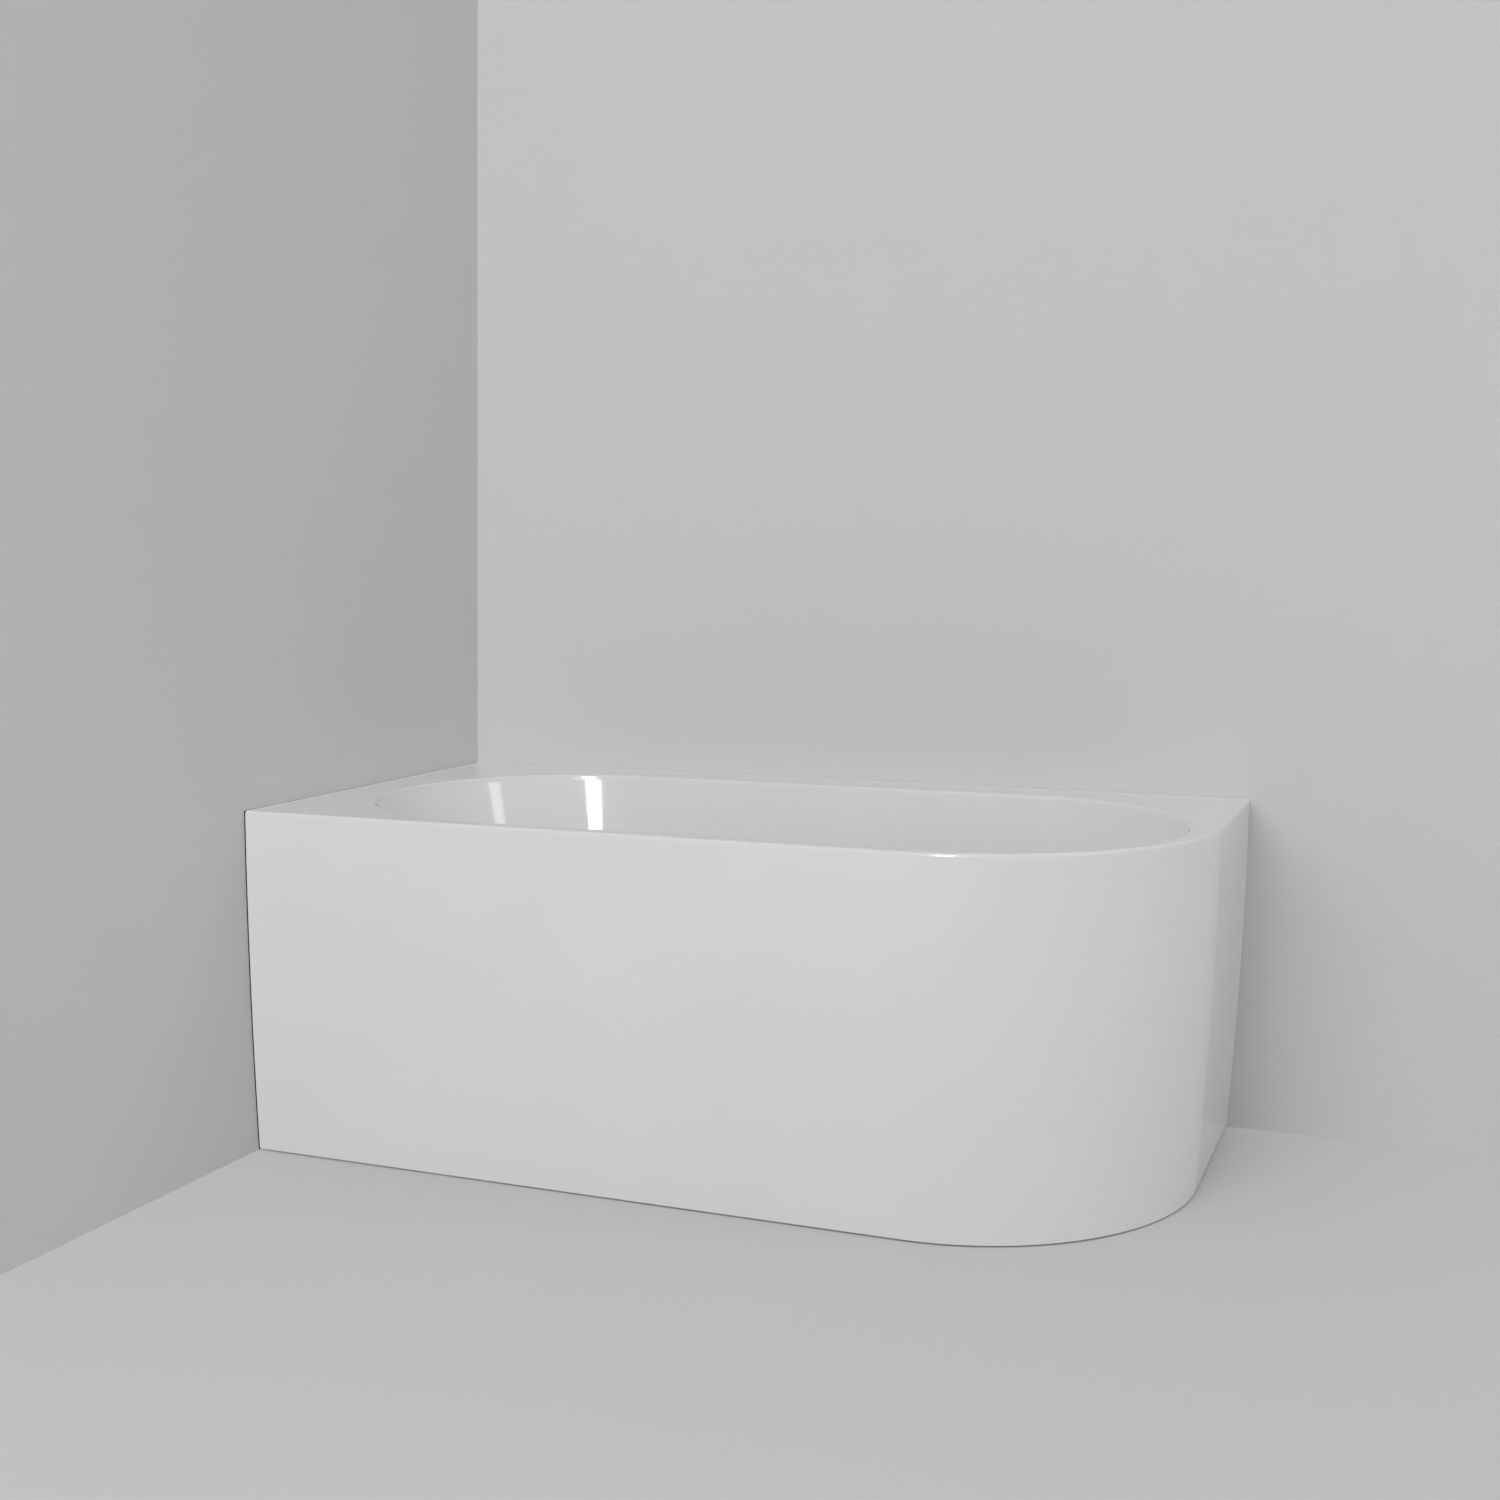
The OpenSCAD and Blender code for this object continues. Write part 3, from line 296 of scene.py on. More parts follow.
def wall_profile(t, rows=10):
    """The well's wall as (inset, depth), a distance t outside the surface that water touches."""
    edge = [(math.pi / 2 - SIDE) * i / 10 for i in range(11)]
    sole = [SIDE + (math.pi / 2 - SIDE) * i / 24 for i in range(25)]
    top = [(-EDGE + (EDGE - t) * math.sin(a), EDGE - (EDGE - t) * math.cos(a)) for a in edge]
    low = [(SOLE[0] - (SOLE_R + t) * math.cos(a), SOLE[1] + (SOLE_R + t) * math.sin(a))
           for a in sole]
    # The first rows lie close together, so that reflections stay straight where the slope begins
    shares = [0.002, 0.004, 0.006, 0.009, 0.014, 0.022]
    shares += [i / rows for i in range(1, rows)] + [0.995]
    wall = [tuple(a + (b - a) * share for a, b in zip(top[-1], low[0])) for share in shares]
    return top + wall + low


def well_ring(inset, depth, arc=64, straight=12):
    """One level of the well: a stadium whose ends move in as the ends of the well slope."""
    r = WELL_R - inset
    eased = min(max(depth - EDGE + EASE, 0.0), 2 * EASE)
    lean = eased * eased / (4 * EASE) + max(0.0, depth - EDGE - EASE)
    right, left, z = WELL_RIGHT - lean * FOOT_LEAN, WELL_LEFT + lean * BACK_LEAN, HEIGHT - depth
    ring = [(right + r * math.cos(math.pi * i / arc - math.pi / 2),
             WELL_Y + r * math.sin(math.pi * i / arc - math.pi / 2), z) for i in range(arc + 1)]
    ring += [(right + (left - right) * i / straight, WELL_Y + r, z) for i in range(1, straight)]
    ring += [(left - r * math.sin(math.pi * i / arc), WELL_Y + r * math.cos(math.pi * i / arc), z)
             for i in range(arc + 1)]
    ring += [(left + (right - left) * i / straight, WELL_Y - r, z) for i in range(1, straight)]
    return [Vector(p) for p in ring]


def well_floor(t, count=9):
    """The last levels of the well, which fall to the drain."""
    last = well_ring(*wall_profile(t)[-1])
    middle = DRAIN - Vector((0, 0, t))
    return [[p.lerp(middle, i / (count + 1)) for p in last] for i in range(1, count + 1)]


def quarter(steps):
    """The angles of a quarter turn, in even steps."""
    return [math.pi / 2 * i / steps for i in range(steps + 1)]


def j_line(s, z, arc=72):
    """A line round the free edge at a distance s from the corner's centre: front, corner, end."""
    corner = [Vector((CORNER_X + s * math.sin(a), CORNER_Y - s * math.cos(a), z))
              for a in quarter(arc)]
    return [Vector((LEFT, CORNER_Y - s, z))] + corner + [Vector((CORNER_X + s, BACK, z))]


def laid(bm, rows, closed=False):
    """Faces between rows of points; gives the rows as vertices."""
    grid = [[bm.verts.new(p) for p in row] for row in rows]
    for a, b in zip(grid, grid[1:]):
        for i in range(len(a) if closed else len(a) - 1):
            j = (i + 1) % len(a)
            bm.faces.new((a[i], a[j], b[j], b[i]))
    return grid


def smoothed(mesh, angle=35):
    """Shades a mesh smooth, but for the edges that turn by more than some degrees."""
    mesh.shade_smooth()
    mesh.set_sharp_from_angle(angle=math.radians(angle))


def settled(piece, angle=35):
    """Turns a piece's modifiers into its plain mesh."""
    bpy.context.view_layer.update()
    grid = bpy.context.evaluated_depsgraph_get()
    mesh = bpy.data.meshes.new_from_object(piece.evaluated_get(grid), depsgraph=grid)
    piece.modifiers.clear()
    mesh.name = piece.name
    piece.data = mesh
    smoothed(mesh, angle)
    return piece


def cut(piece, *cutters):
    """Takes the cutters' shapes out of a piece."""
    for cutter in cutters:
        made = piece.modifiers.new("cut", "BOOLEAN")
        made.object = cutter
        made.solver = "EXACT"
        made.operation = "DIFFERENCE"
    settled(piece)
    for cutter in cutters:
        bpy.data.objects.remove(cutter)
    return piece


def disc(radius, low, high, frame_at, material, sides=96):
    """A round cutter in the frame of the drain or of the overflow."""
    bm = bmesh.new()
    bmesh.ops.create_cone(bm, cap_ends=True, segments=sides, radius1=radius, radius2=radius,
                          depth=high - low, matrix=Matrix.Translation((0, 0, (low + high) / 2)))
    bm.transform(frame_at)
    mesh = bpy.data.meshes.new("cutter")
    bm.to_mesh(mesh)
    bm.free()
    return linked("cutter", mesh, material)


# High-gloss cast acrylic: white through and through, with the mould's faint long waves that
# only the reflections show
acrylic, tree, shader = finish("thermoformed_white_acrylic")
place = add(tree, "ShaderNodeTexCoord").outputs["Object"]
cloud = add(tree, "ShaderNodeTexNoise", {"Vector": place, "Scale": 3.0, "Detail": 2.0})
tint = add(tree, "ShaderNodeMix", {"Factor": cloud.outputs[0], "A": colour("#DEDEDD"),
                                   "B": colour("#DADADA")}, data_type="RGBA")
tree.links.new(tint.outputs["Result"], shader.inputs["Base Color"])
rub = add(tree, "ShaderNodeTexNoise", {"Vector": place, "Scale": 9.0, "Detail": 4.0})
sheen = add(tree, "ShaderNodeMapRange", {"Value": rub.outputs[0], "From Min": 0.3,
                                         "From Max": 0.7, "To Min": 0.03, "To Max": 0.05})
tree.links.new(sheen.outputs[0], shader.inputs["Roughness"])
shader.inputs["IOR"].default_value = 1.49
wave = add(tree, "ShaderNodeTexNoise", {"Vector": place, "Scale": 7.0, "Detail": 0.0})
bump = add(tree, "ShaderNodeBump", {"Height": wave.outputs[0], "Strength": 0.08,
                                    "Distance": 0.0012})
peel = add(tree, "ShaderNodeTexNoise", {"Vector": place, "Scale": 420.0, "Detail": 1.0})
bump = add(tree, "ShaderNodeBump", {"Height": peel.outputs[0], "Strength": 0.05,
                                    "Distance": 0.00002, "Normal": bump.outputs[0]})
tree.links.new(bump.outputs[0], shader.inputs["Normal"])

# The back of the same sheet, never polished: chalky white with the mould's marks
acrylic_back, tree, shader = finish("unpolished_acrylic_back")
place = add(tree, "ShaderNodeTexCoord").outputs["Object"]
cloud = add(tree, "ShaderNodeTexNoise", {"Vector": place, "Scale": 14.0, "Detail": 6.0})
tint = add(tree, "ShaderNodeMix", {"Factor": cloud.outputs[0], "A": colour("#D6D5CF"),
                                   "B": colour("#C9C8C1")}, data_type="RGBA")
tree.links.new(tint.outputs["Result"], shader.inputs["Base Color"])
shader.inputs["Roughness"].default_value = 0.55
grit = add(tree, "ShaderNodeTexNoise", {"Vector": place, "Scale": 300.0, "Detail": 3.0})
bump = add(tree, "ShaderNodeBump", {"Height": grit.outputs[0], "Strength": 0.3,
                                    "Distance": 0.0003})
tree.links.new(bump.outputs[0], shader.inputs["Normal"])

bm = bmesh.new()
free_edge = [(apron_s(z), z) for z in (SEAM_Z, SEAM_Z + 0.002, SEAM_Z + 0.006, HEIGHT - EDGE)]
free_edge += [(CORNER - ROLL + ROLL * math.cos(a), HEIGHT - ROLL + ROLL * math.sin(a))
              for a in quarter(14)]
free_edge += [(DECK_EDGE, HEIGHT)]
laid(bm, [j_line(s, z) for s, z in free_edge])
rings = [well_ring(-EDGE - 0.001, 0)] + [well_ring(*p) for p in wall_profile(0)]
rings += well_floor(0)
grid = laid(bm, rings, closed=True)
pole = bm.verts.new(DRAIN)
for i, v in enumerate(grid[-1]):
    bm.faces.new((v, grid[-1][(i + 1) % len(grid[-1])], pole))
outline = j_line(DECK_EDGE, HEIGHT) + [Vector((LEFT, BACK, HEIGHT))]
hole = rings[0][::-1]
corners = [bm.verts.new(p) for p in outline + hole]
for triangle in tessellate_polygon([outline, hole]):
    bm.faces.new([corners[k] for k in triangle])
turn_down = [outline[0], outline[-1], outline[-2]]
laid(bm, [turn_down, [Vector((p.x, p.y, LIP_Z)) for p in turn_down]])
bmesh.ops.remove_doubles(bm, verts=bm.verts, dist=1e-6)
bmesh.ops.recalc_face_normals(bm, faces=bm.faces)
deck_face = max(bm.faces, key=lambda f: f.calc_area() if abs(f.normal.z) > 0.99
                and f.calc_center_median().z > HEIGHT - 0.0005 else 0)
if deck_face.normal.z < 0:
    bmesh.ops.reverse_faces(bm, faces=bm.faces)
fold = [e for e in bm.edges if len(e.link_faces) == 2 and e.calc_face_angle(0) > 1.2]
bmesh.ops.bevel(bm, geom=fold, offset=FOLD, segments=3, affect="EDGES", profile=0.5)
mesh = bpy.data.meshes.new("shell_sheet")
bm.to_mesh(mesh)
bm.free()
shell = linked("shell_sheet", mesh, acrylic, acrylic_back)
wall = shell.modifiers.new("thickness", "SOLIDIFY")
wall.thickness = SHELL
wall.offset = -1
wall.use_even_offset = True
wall.material_offset = 1
settled(shell)
cut(shell, disc(DRAIN_SEAT, -0.002, 0.020, AT_DRAIN, acrylic),
    disc(DRAIN_HOLE, -0.020, 0.001, AT_DRAIN, acrylic),
    disc(OVERFLOW_HOLE, -0.020, 0.020, AT_OVERFLOW, acrylic),
    disc(OVERFLOW_SEAT, 0.0, 0.020, AT_OVERFLOW, acrylic))

# The deck ends sharply at its folds, so that its shading stays flat up to the walls
for edge in shell.data.edges:
    a, b = (shell.data.vertices[i].co for i in edge.vertices)
    at_wall = max(a.x, b.x) < LEFT + 2 * FOLD or min(a.y, b.y) > BACK - 2 * FOLD
    edge.use_edge_sharp |= at_wall and min(a.z, b.z) > HEIGHT - 0.00001
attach(shell, "bath")
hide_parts("bath_shell")

# Laminate
# Glass-fibre laminate that stiffens the well: chopped strands and polyester resin, sprayed on
# the underside by hand and rolled flat, so it is uneven and ends in a ragged edge.

# Glass strands in bundles 30 to 50 mm long and about 1 mm wide, lying in all directions in a
# greenish straw-coloured resin
laminate, tree, shader = finish("sprayed_glass_fibre_laminate")
place = add(tree, "ShaderNodeTexCoord").outputs["Object"]
strands = None
for k, turn in enumerate(((0.3, 0.2, 0.5), (0.5, 1.1, 0.4), (0.2, 1.4, 2.1), (0.9, -0.6, 1.3),
                          (0.1, -1.0, 0.2))):
    way = add(tree, "ShaderNodeMapping", {"Vector": place, "Rotation": turn,
                                          "Location": (k * 0.37, k * 0.11, k * 0.23),
                                          "Scale": (0.042, 0.0022, 0.0022)},
              vector_type="TEXTURE")
    bundle = add(tree, "ShaderNodeTexNoise", {"Vector": way.outputs[0], "Scale": 1.0,
                                              "Detail": 1.0})
    ridge = add(tree, "ShaderNodeMapRange", {"Value": bundle.outputs[0], "From Min": 0.58,
                                             "From Max": 0.72})
    strands = ridge if strands is None else add(
        tree, M, {0: strands.outputs[0], 1: ridge.outputs[0]}, operation="MAXIMUM")
pool = add(tree, "ShaderNodeTexNoise", {"Vector": place, "Scale": 11.0, "Detail": 4.0})
resin = add(tree, "ShaderNodeMix", {"Factor": pool.outputs[0], "A": colour("#B9B48E"),
                                    "B": colour("#CFCBAE")}, data_type="RGBA")
tint = add(tree, "ShaderNodeMix", {"Factor": strands.outputs[0], "A": resin.outputs["Result"],
                                   "B": colour("#E6E3D4")}, data_type="RGBA")
tree.links.new(tint.outputs["Result"], shader.inputs["Base Color"])
wet = add(tree, "ShaderNodeMapRange", {"Value": pool.outputs[0], "To Min": 0.28, "To Max": 0.6})
tree.links.new(wet.outputs[0], shader.inputs["Roughness"])
shader.inputs["IOR"].default_value = 1.55
bump = add(tree, "ShaderNodeBump", {"Height": strands.outputs[0], "Strength": 0.6,
                                    "Distance": 0.0006})
lump = add(tree, "ShaderNodeTexNoise", {"Vector": place, "Scale": 60.0, "Detail": 4.0})
bump = add(tree, "ShaderNodeBump", {"Height": lump.outputs[0], "Strength": 0.5,
                                    "Distance": 0.0015, "Normal": bump.outputs[0]})
tree.links.new(bump.outputs[0], shader.inputs["Normal"])

LAY_IN, LAY_OUT, LAY_TOP = SHELL + 0.0003, SHELL + 0.0043, 0.040


def lay_rows(t):
    """Levels of the laminate a distance t outside the well, from its top edge to the floor."""
    rows = [p for p in wall_profile(t) if p[1] > LAY_TOP + 0.02]
    away = (rows[0][0] - (rows[0][1] - LAY_TOP) * math.tan(SIDE), LAY_TOP)
    steps = [tuple(a + (b - a) * i / 4 for a, b in zip(away, rows[0])) for i in range(4)]
    return [well_ring(*p) for p in steps + rows] + well_floor(t)


def ragged(ring_rows):
    """Lowers the top edge of the laminate by up to 12 mm here and there."""
    for k in range(4):
        for p in ring_rows[k]:
            drop = 0.006 + 0.006 * noise.noise(Vector((p.x * 22, p.y * 22, 3)))
            p.z -= max(0.0, drop) * (1 - k / 4)
    return ring_rows


inner = ragged(lay_rows(LAY_IN))
outer = ragged(lay_rows(LAY_OUT))
middle = Vector((0.1, WELL_Y, HEIGHT))
for row in outer[1:]:
    for p in row:
        p += (middle - p).normalized() * 0.0008 * (0.5 + 0.5 * noise.noise(p * 18))
bm = bmesh.new()
inner_grid = laid(bm, inner, closed=True)
outer_grid = laid(bm, outer, closed=True)
count = len(inner[0])
for i in range(count):
    j = (i + 1) % count
    bm.faces.new((inner_grid[0][i], outer_grid[0][i], outer_grid[0][j], inner_grid[0][j]))
for ring, t in ((inner_grid, LAY_IN), (outer_grid, LAY_OUT)):
    pole = bm.verts.new(DRAIN - Vector((0, 0, t)))
    for i in range(count):
        bm.faces.new((ring[-1][i], ring[-1][(i + 1) % count], pole))
bmesh.ops.recalc_face_normals(bm, faces=bm.faces)
mesh = bpy.data.meshes.new("laminate_skin")
bm.to_mesh(mesh)
bm.free()
skin = linked("laminate_skin", mesh, laminate)
cut(skin, disc(DRAIN_HOLE + 0.001, -0.030, 0.010, AT_DRAIN, laminate),
    disc(OVERFLOW_HOLE + 0.003, -0.020, 0.020, AT_OVERFLOW, laminate))
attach(skin, "bath")
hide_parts("fibreglass_backing")

# Apron
# The skirt in front: one long acrylic sheet, bent round the corner in the oven, with a thin
# spray of laminate behind it. It leans in towards the floor, bulges a little halfway up, and
# meets the rolled edge of the shell in a flush glued seam.


def sized_tree(name, sizes):
    """A Geometry Nodes tree with a named input for each size; gives the tree and its inputs."""
    made = bpy.data.node_groups.new(name, "GeometryNodeTree")
    made.interface.new_socket("Geometry", in_out="INPUT", socket_type="NodeSocketGeometry")
    for label, value in sizes.items():
        kind = {int: "NodeSocketInt", float: "NodeSocketFloat"}.get(
            type(value), "NodeSocketMaterial")
        made.interface.new_socket(label, in_out="INPUT", socket_type=kind)
    made.interface.new_socket("Geometry", in_out="OUTPUT", socket_type="NodeSocketGeometry")
    return made, add(made, "NodeGroupInput").outputs


def ended(made, geometry, material):
    """Ends a tree: instances become real, and the material goes on."""
    real = add(made, "GeometryNodeRealizeInstances", {0: geometry})
    coated = add(made, "GeometryNodeSetMaterial", {"Geometry": real.outputs[0],
                                                   "Material": material})
    add(made, "NodeGroupOutput", {0: coated.outputs[0]})


def grown(name, base, made, sizes, angle=35):
    """Runs a tree on a base mesh and gives the result as a plain piece."""
    piece = linked(name, base)
    step = piece.modifiers.new(made.name, "NODES")
    step.node_group = made
    for item in made.interface.items_tree:
        if item.in_out == "INPUT" and item.name in sizes:
            step[item.identifier] = sizes[item.name]
    settled(piece, angle)
    if len(piece.data.materials) > 1 and piece.data.materials[0] is None:
        piece.data.materials.pop(index=0)
    for face in piece.data.polygons:
        face.material_index = 0
    bm = bmesh.new()
    bm.from_mesh(piece.data)
    bmesh.ops.remove_doubles(bm, verts=bm.verts, dist=1e-6)
    bmesh.ops.recalc_face_normals(bm, faces=bm.faces)
    bm.to_mesh(piece.data)
    bm.free()
    smoothed(piece.data, angle)
    return piece


sizes = {"Length": LENGTH, "Width": WIDTH, "Corner radius": CORNER, "Rake": RAKE,
         "Bulge": BULGE, "Thickness": SHELL, "Floor gap": 0.0025, "Seam height": SEAM_Z,
         "Edge height": HEIGHT - EDGE, "Levels": 40, "Corner steps": 72}
made, size = sized_tree("apron_sheet", sizes)
index = add(made, "GeometryNodeInputIndex").outputs[0]
half_l = add(made, M, {0: size["Length"], 1: 0.5}, operation="MULTIPLY").outputs[0]
half_w = add(made, M, {0: size["Width"], 1: 0.5}, operation="MULTIPLY").outputs[0]
along = add(made, M, {0: index, 1: 1.0}, operation="MINIMUM").outputs[0]
across = add(made, M, {0: index, 1: along}, operation="SUBTRACT").outputs[0]
x = add(made, M, {0: along, 1: size["Length"]}, operation="MULTIPLY").outputs[0]
x = add(made, M, {0: x, 1: half_l}, operation="SUBTRACT").outputs[0]
y = add(made, M, {0: across, 1: size["Width"]}, operation="MULTIPLY").outputs[0]
y = add(made, M, {0: y, 1: half_w}, operation="SUBTRACT").outputs[0]
spot = add(made, "ShaderNodeCombineXYZ", {0: x, 1: y}).outputs[0]
line = add(made, "GeometryNodeMeshLine", {"Count": 3}).outputs[0]
line = add(made, "GeometryNodeSetPosition", {"Geometry": line, "Position": spot}).outputs[0]
route = add(made, "GeometryNodeMeshToCurve", {0: line}).outputs[0]
route = add(made, "GeometryNodeFilletCurve", {"Curve": route, "Count": size["Corner steps"],
                                              "Radius": size["Corner radius"]},
            mode="POLY").outputs[0]
route = add(made, "GeometryNodeSetCurveNormal", {"Curve": route}, mode="Z_UP").outputs[0]
total = add(made, M, {0: size["Levels"], 1: 2.0}, operation="MULTIPLY").outputs[0]
last = add(made, M, {0: total, 1: 1.0}, operation="SUBTRACT").outputs[0]
mirror = add(made, M, {0: last, 1: index}, operation="SUBTRACT").outputs[0]
level = add(made, M, {0: index, 1: mirror}, operation="MINIMUM").outputs[0]
behind = add(made, M, {0: index, 1: mirror}, operation="GREATER_THAN").outputs[0]
steps = add(made, M, {0: size["Levels"], 1: 1.0}, operation="SUBTRACT").outputs[0]
share = add(made, M, {0: level, 1: steps}, operation="DIVIDE").outputs[0]
z = add(made, "ShaderNodeMapRange", {"Value": share, "To Min": size["Floor gap"],
                                     "To Max": size["Seam height"]}).outputs[0]
u = add(made, M, {0: z, 1: size["Edge height"]}, operation="DIVIDE").outputs[0]
below = add(made, M, {0: 1.0, 1: u}, operation="SUBTRACT").outputs[0]
swell = add(made, M, {0: size["Bulge"], 1: -4.0}, operation="MULTIPLY").outputs[0]
lean = add(made, M, {0: swell, 1: u, 2: size["Rake"]}, operation="MULTIPLY_ADD").outputs[0]
lean = add(made, M, {0: lean, 1: below}, operation="MULTIPLY").outputs[0]
inset = add(made, M, {0: behind, 1: size["Thickness"], 2: lean},
            operation="MULTIPLY_ADD").outputs[0]
drop = add(made, M, {0: z, 1: -1.0}, operation="MULTIPLY").outputs[0]
back = add(made, M, {0: inset, 1: -1.0}, operation="MULTIPLY").outputs[0]
spot = add(made, "ShaderNodeCombineXYZ", {0: back, 1: drop}).outputs[0]
line = add(made, "GeometryNodeMeshLine", {"Count": total}).outputs[0]
line = add(made, "GeometryNodeSetPosition", {"Geometry": line, "Position": spot}).outputs[0]
outline = add(made, "GeometryNodeMeshToCurve", {0: line}).outputs[0]
outline = add(made, "GeometryNodeSetSplineCyclic", {"Geometry": outline,
                                                    "Cyclic": True}).outputs[0]
sheet = add(made, "GeometryNodeCurveToMesh", {"Curve": route, "Profile Curve": outline,
                                              "Fill Caps": True}).outputs[0]
ended(made, sheet, acrylic)
apron = grown("apron_sheet", bpy.data.meshes.new("apron_sheet"), made, sizes)
apron.data.materials.append(laminate)
for face in apron.data.polygons:
    centre, normal = face.center, face.normal
    middle = Vector((min(centre.x, CORNER_X), max(centre.y, CORNER_Y), centre.z))
    if normal.dot(centre - middle) < -0.5 * (centre - middle).length:
        face.material_index = 1
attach(apron, "bath")
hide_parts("apron")

# Base board
# The board that carries the floor of the well: 16 mm moisture-resistant chipboard, sawn to size
# with a notch for the waste, and held down by screws that come up through the rails.


def dressed(name, node, material, bevel=0.0005, long_edge=0.0, angle=35):
    """A merged copy of a CAD solid with its edges softened, which stands for that solid."""
    source = frame["nodes"][node]
    mesh = source.data.copy()
    mesh.name = name
    mesh.materials.clear()
    for label in ("custom_normal", "sharp_edge", "sharp_face"):
        if label in mesh.attributes:
            mesh.attributes.remove(mesh.attributes[label])
    bm = bmesh.new()
    bm.from_mesh(mesh)
    bmesh.ops.remove_doubles(bm, verts=bm.verts, dist=2e-6)
    bmesh.ops.dissolve_limit(bm, angle_limit=math.radians(0.7), verts=bm.verts, edges=bm.edges)
    if long_edge:
        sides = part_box(node)
        outer = [e for e in bm.edges if e.calc_length() > 0.05 and sum(
            all(min(abs(v.co[k] - side[k]) for side in sides) < 1e-5 for v in e.verts)
            for k in range(3)) >= 2]
        bmesh.ops.bevel(bm, geom=outer, offset=long_edge, segments=4, affect="EDGES",
                        profile=0.5)
    bm.to_mesh(mesh)
    bm.free()
    piece = linked(name, mesh, material)
    if bevel:
        edges = piece.modifiers.new("soft_edges", "BEVEL")
        edges.width = bevel
        edges.segments = 2
        edges.limit_method = "ANGLE"
        edges.angle_limit = math.radians(32)
    settled(piece, angle)
    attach(piece, source["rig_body"])
    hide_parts(node)
    return piece


# Chipboard: flat pine flakes 3 to 8 mm across, pressed and glued, paler where one lies on top
chipboard, tree, shader = finish("moisture_resistant_chipboard")
place = add(tree, "ShaderNodeTexCoord").outputs["Object"]
way = add(tree, "ShaderNodeMapping", {"Vector": place, "Scale": (150.0, 230.0, 700.0)})
flake = add(tree, "ShaderNodeTexVoronoi", {"Vector": way.outputs[0], "Scale": 1.0})
pick = add(tree, "ShaderNodeSeparateColor", {0: flake.outputs["Color"]})
ramp = add(tree, "ShaderNodeValToRGB", {0: pick.outputs[0]})
ramp.color_ramp.elements[0].color = colour("#7E6238")
ramp.color_ramp.elements[1].color = colour("#CDB481")
for spot, code in ((0.3, "#A2844F"), (0.6, "#B99C66")):
    ramp.color_ramp.elements.new(spot).color = colour(code)
tree.links.new(ramp.outputs[0], shader.inputs["Base Color"])
shader.inputs["Roughness"].default_value = 0.8
bump = add(tree, "ShaderNodeBump", {"Height": flake.outputs["Distance"], "Strength": 0.4,
                                    "Distance": 0.0004})
tree.links.new(bump.outputs[0], shader.inputs["Normal"])
dressed("chipboard_panel", "base_board", chipboard, bevel=0.0004)

# Battens
# Planed spruce battens, 28 by 20 mm, bonded under the deck with the same resin. The posts of
# the frame press against them, so the deck bears on wood.


def planed_spruce(name, along):
    """Spruce with its growth rings, 3 mm apart, running along one axis."""
    made, tree, shader = finish(name)
    place = add(tree, "ShaderNodeTexCoord").outputs["Object"]
    pith = add(tree, "ShaderNodeMapping", {"Vector": place, "Location": (0.03, 0.05, -0.52)})
    stretch = (0.06, 1.0, 1.0) if along == "X" else (1.0, 0.06, 1.0)
    long = add(tree, "ShaderNodeMapping", {"Vector": pith.outputs[0], "Scale": stretch})
    rings = add(tree, "ShaderNodeTexWave", {"Vector": long.outputs[0], "Scale": 105.0,
                                            "Distortion": 6.0, "Detail": 2.0,
                                            "Detail Scale": 1.2},
                wave_type="RINGS", rings_direction=along)
    fibre_way = tuple(30.0 if s < 1 else 900.0 for s in stretch)
    fine = add(tree, "ShaderNodeMapping", {"Vector": place, "Scale": fibre_way})
    fibre = add(tree, "ShaderNodeTexNoise", {"Vector": fine.outputs[0], "Scale": 1.0,
                                             "Detail": 3.0})
    ramp = add(tree, "ShaderNodeValToRGB", {0: rings.outputs["Fac"]})
    ramp.color_ramp.elements[0].color = colour("#DCC292")
    ramp.color_ramp.elements[1].color = colour("#B98E57")
    ramp.color_ramp.elements.new(0.7).color = colour("#D3B681")
    tint = add(tree, "ShaderNodeMix", {"Factor": 0.22, "A": ramp.outputs[0],
                                       "B": fibre.outputs["Color"]},
               data_type="RGBA", blend_type="SOFT_LIGHT")
    tree.links.new(tint.outputs["Result"], shader.inputs["Base Color"])
    shader.inputs["Roughness"].default_value = 0.62
    bump = add(tree, "ShaderNodeBump", {"Height": fibre.outputs[0], "Strength": 0.35,
                                        "Distance": 0.0003})
    tree.links.new(bump.outputs[0], shader.inputs["Normal"])
    return made


dressed("spruce_batten_back", "back_batten", planed_spruce("planed_spruce_along_the_back", "X"),
        bevel=0.0012)
dressed("spruce_batten_left", "left_batten", planed_spruce("planed_spruce_at_the_left", "Y"),
        bevel=0.0012)

# Steel frame
# Three beams, two rails and four posts of 25 mm square steel tube with rolled corners, MIG
# welded where they cross and powder coated grey after welding.
TUBE = 0.025
RAIL_Z, BEAM_Z, BOARD_Z = 0.1114, 0.0864, 0.1364
BEAM_X = (-0.765, -0.0625, 0.640)
RAIL_Y = (-0.160, 0.100)
BEAM_FRONT, BEAM_BACK, POST_FRONT, POST_BACK = -0.328, 0.392, -0.288, 0.3585

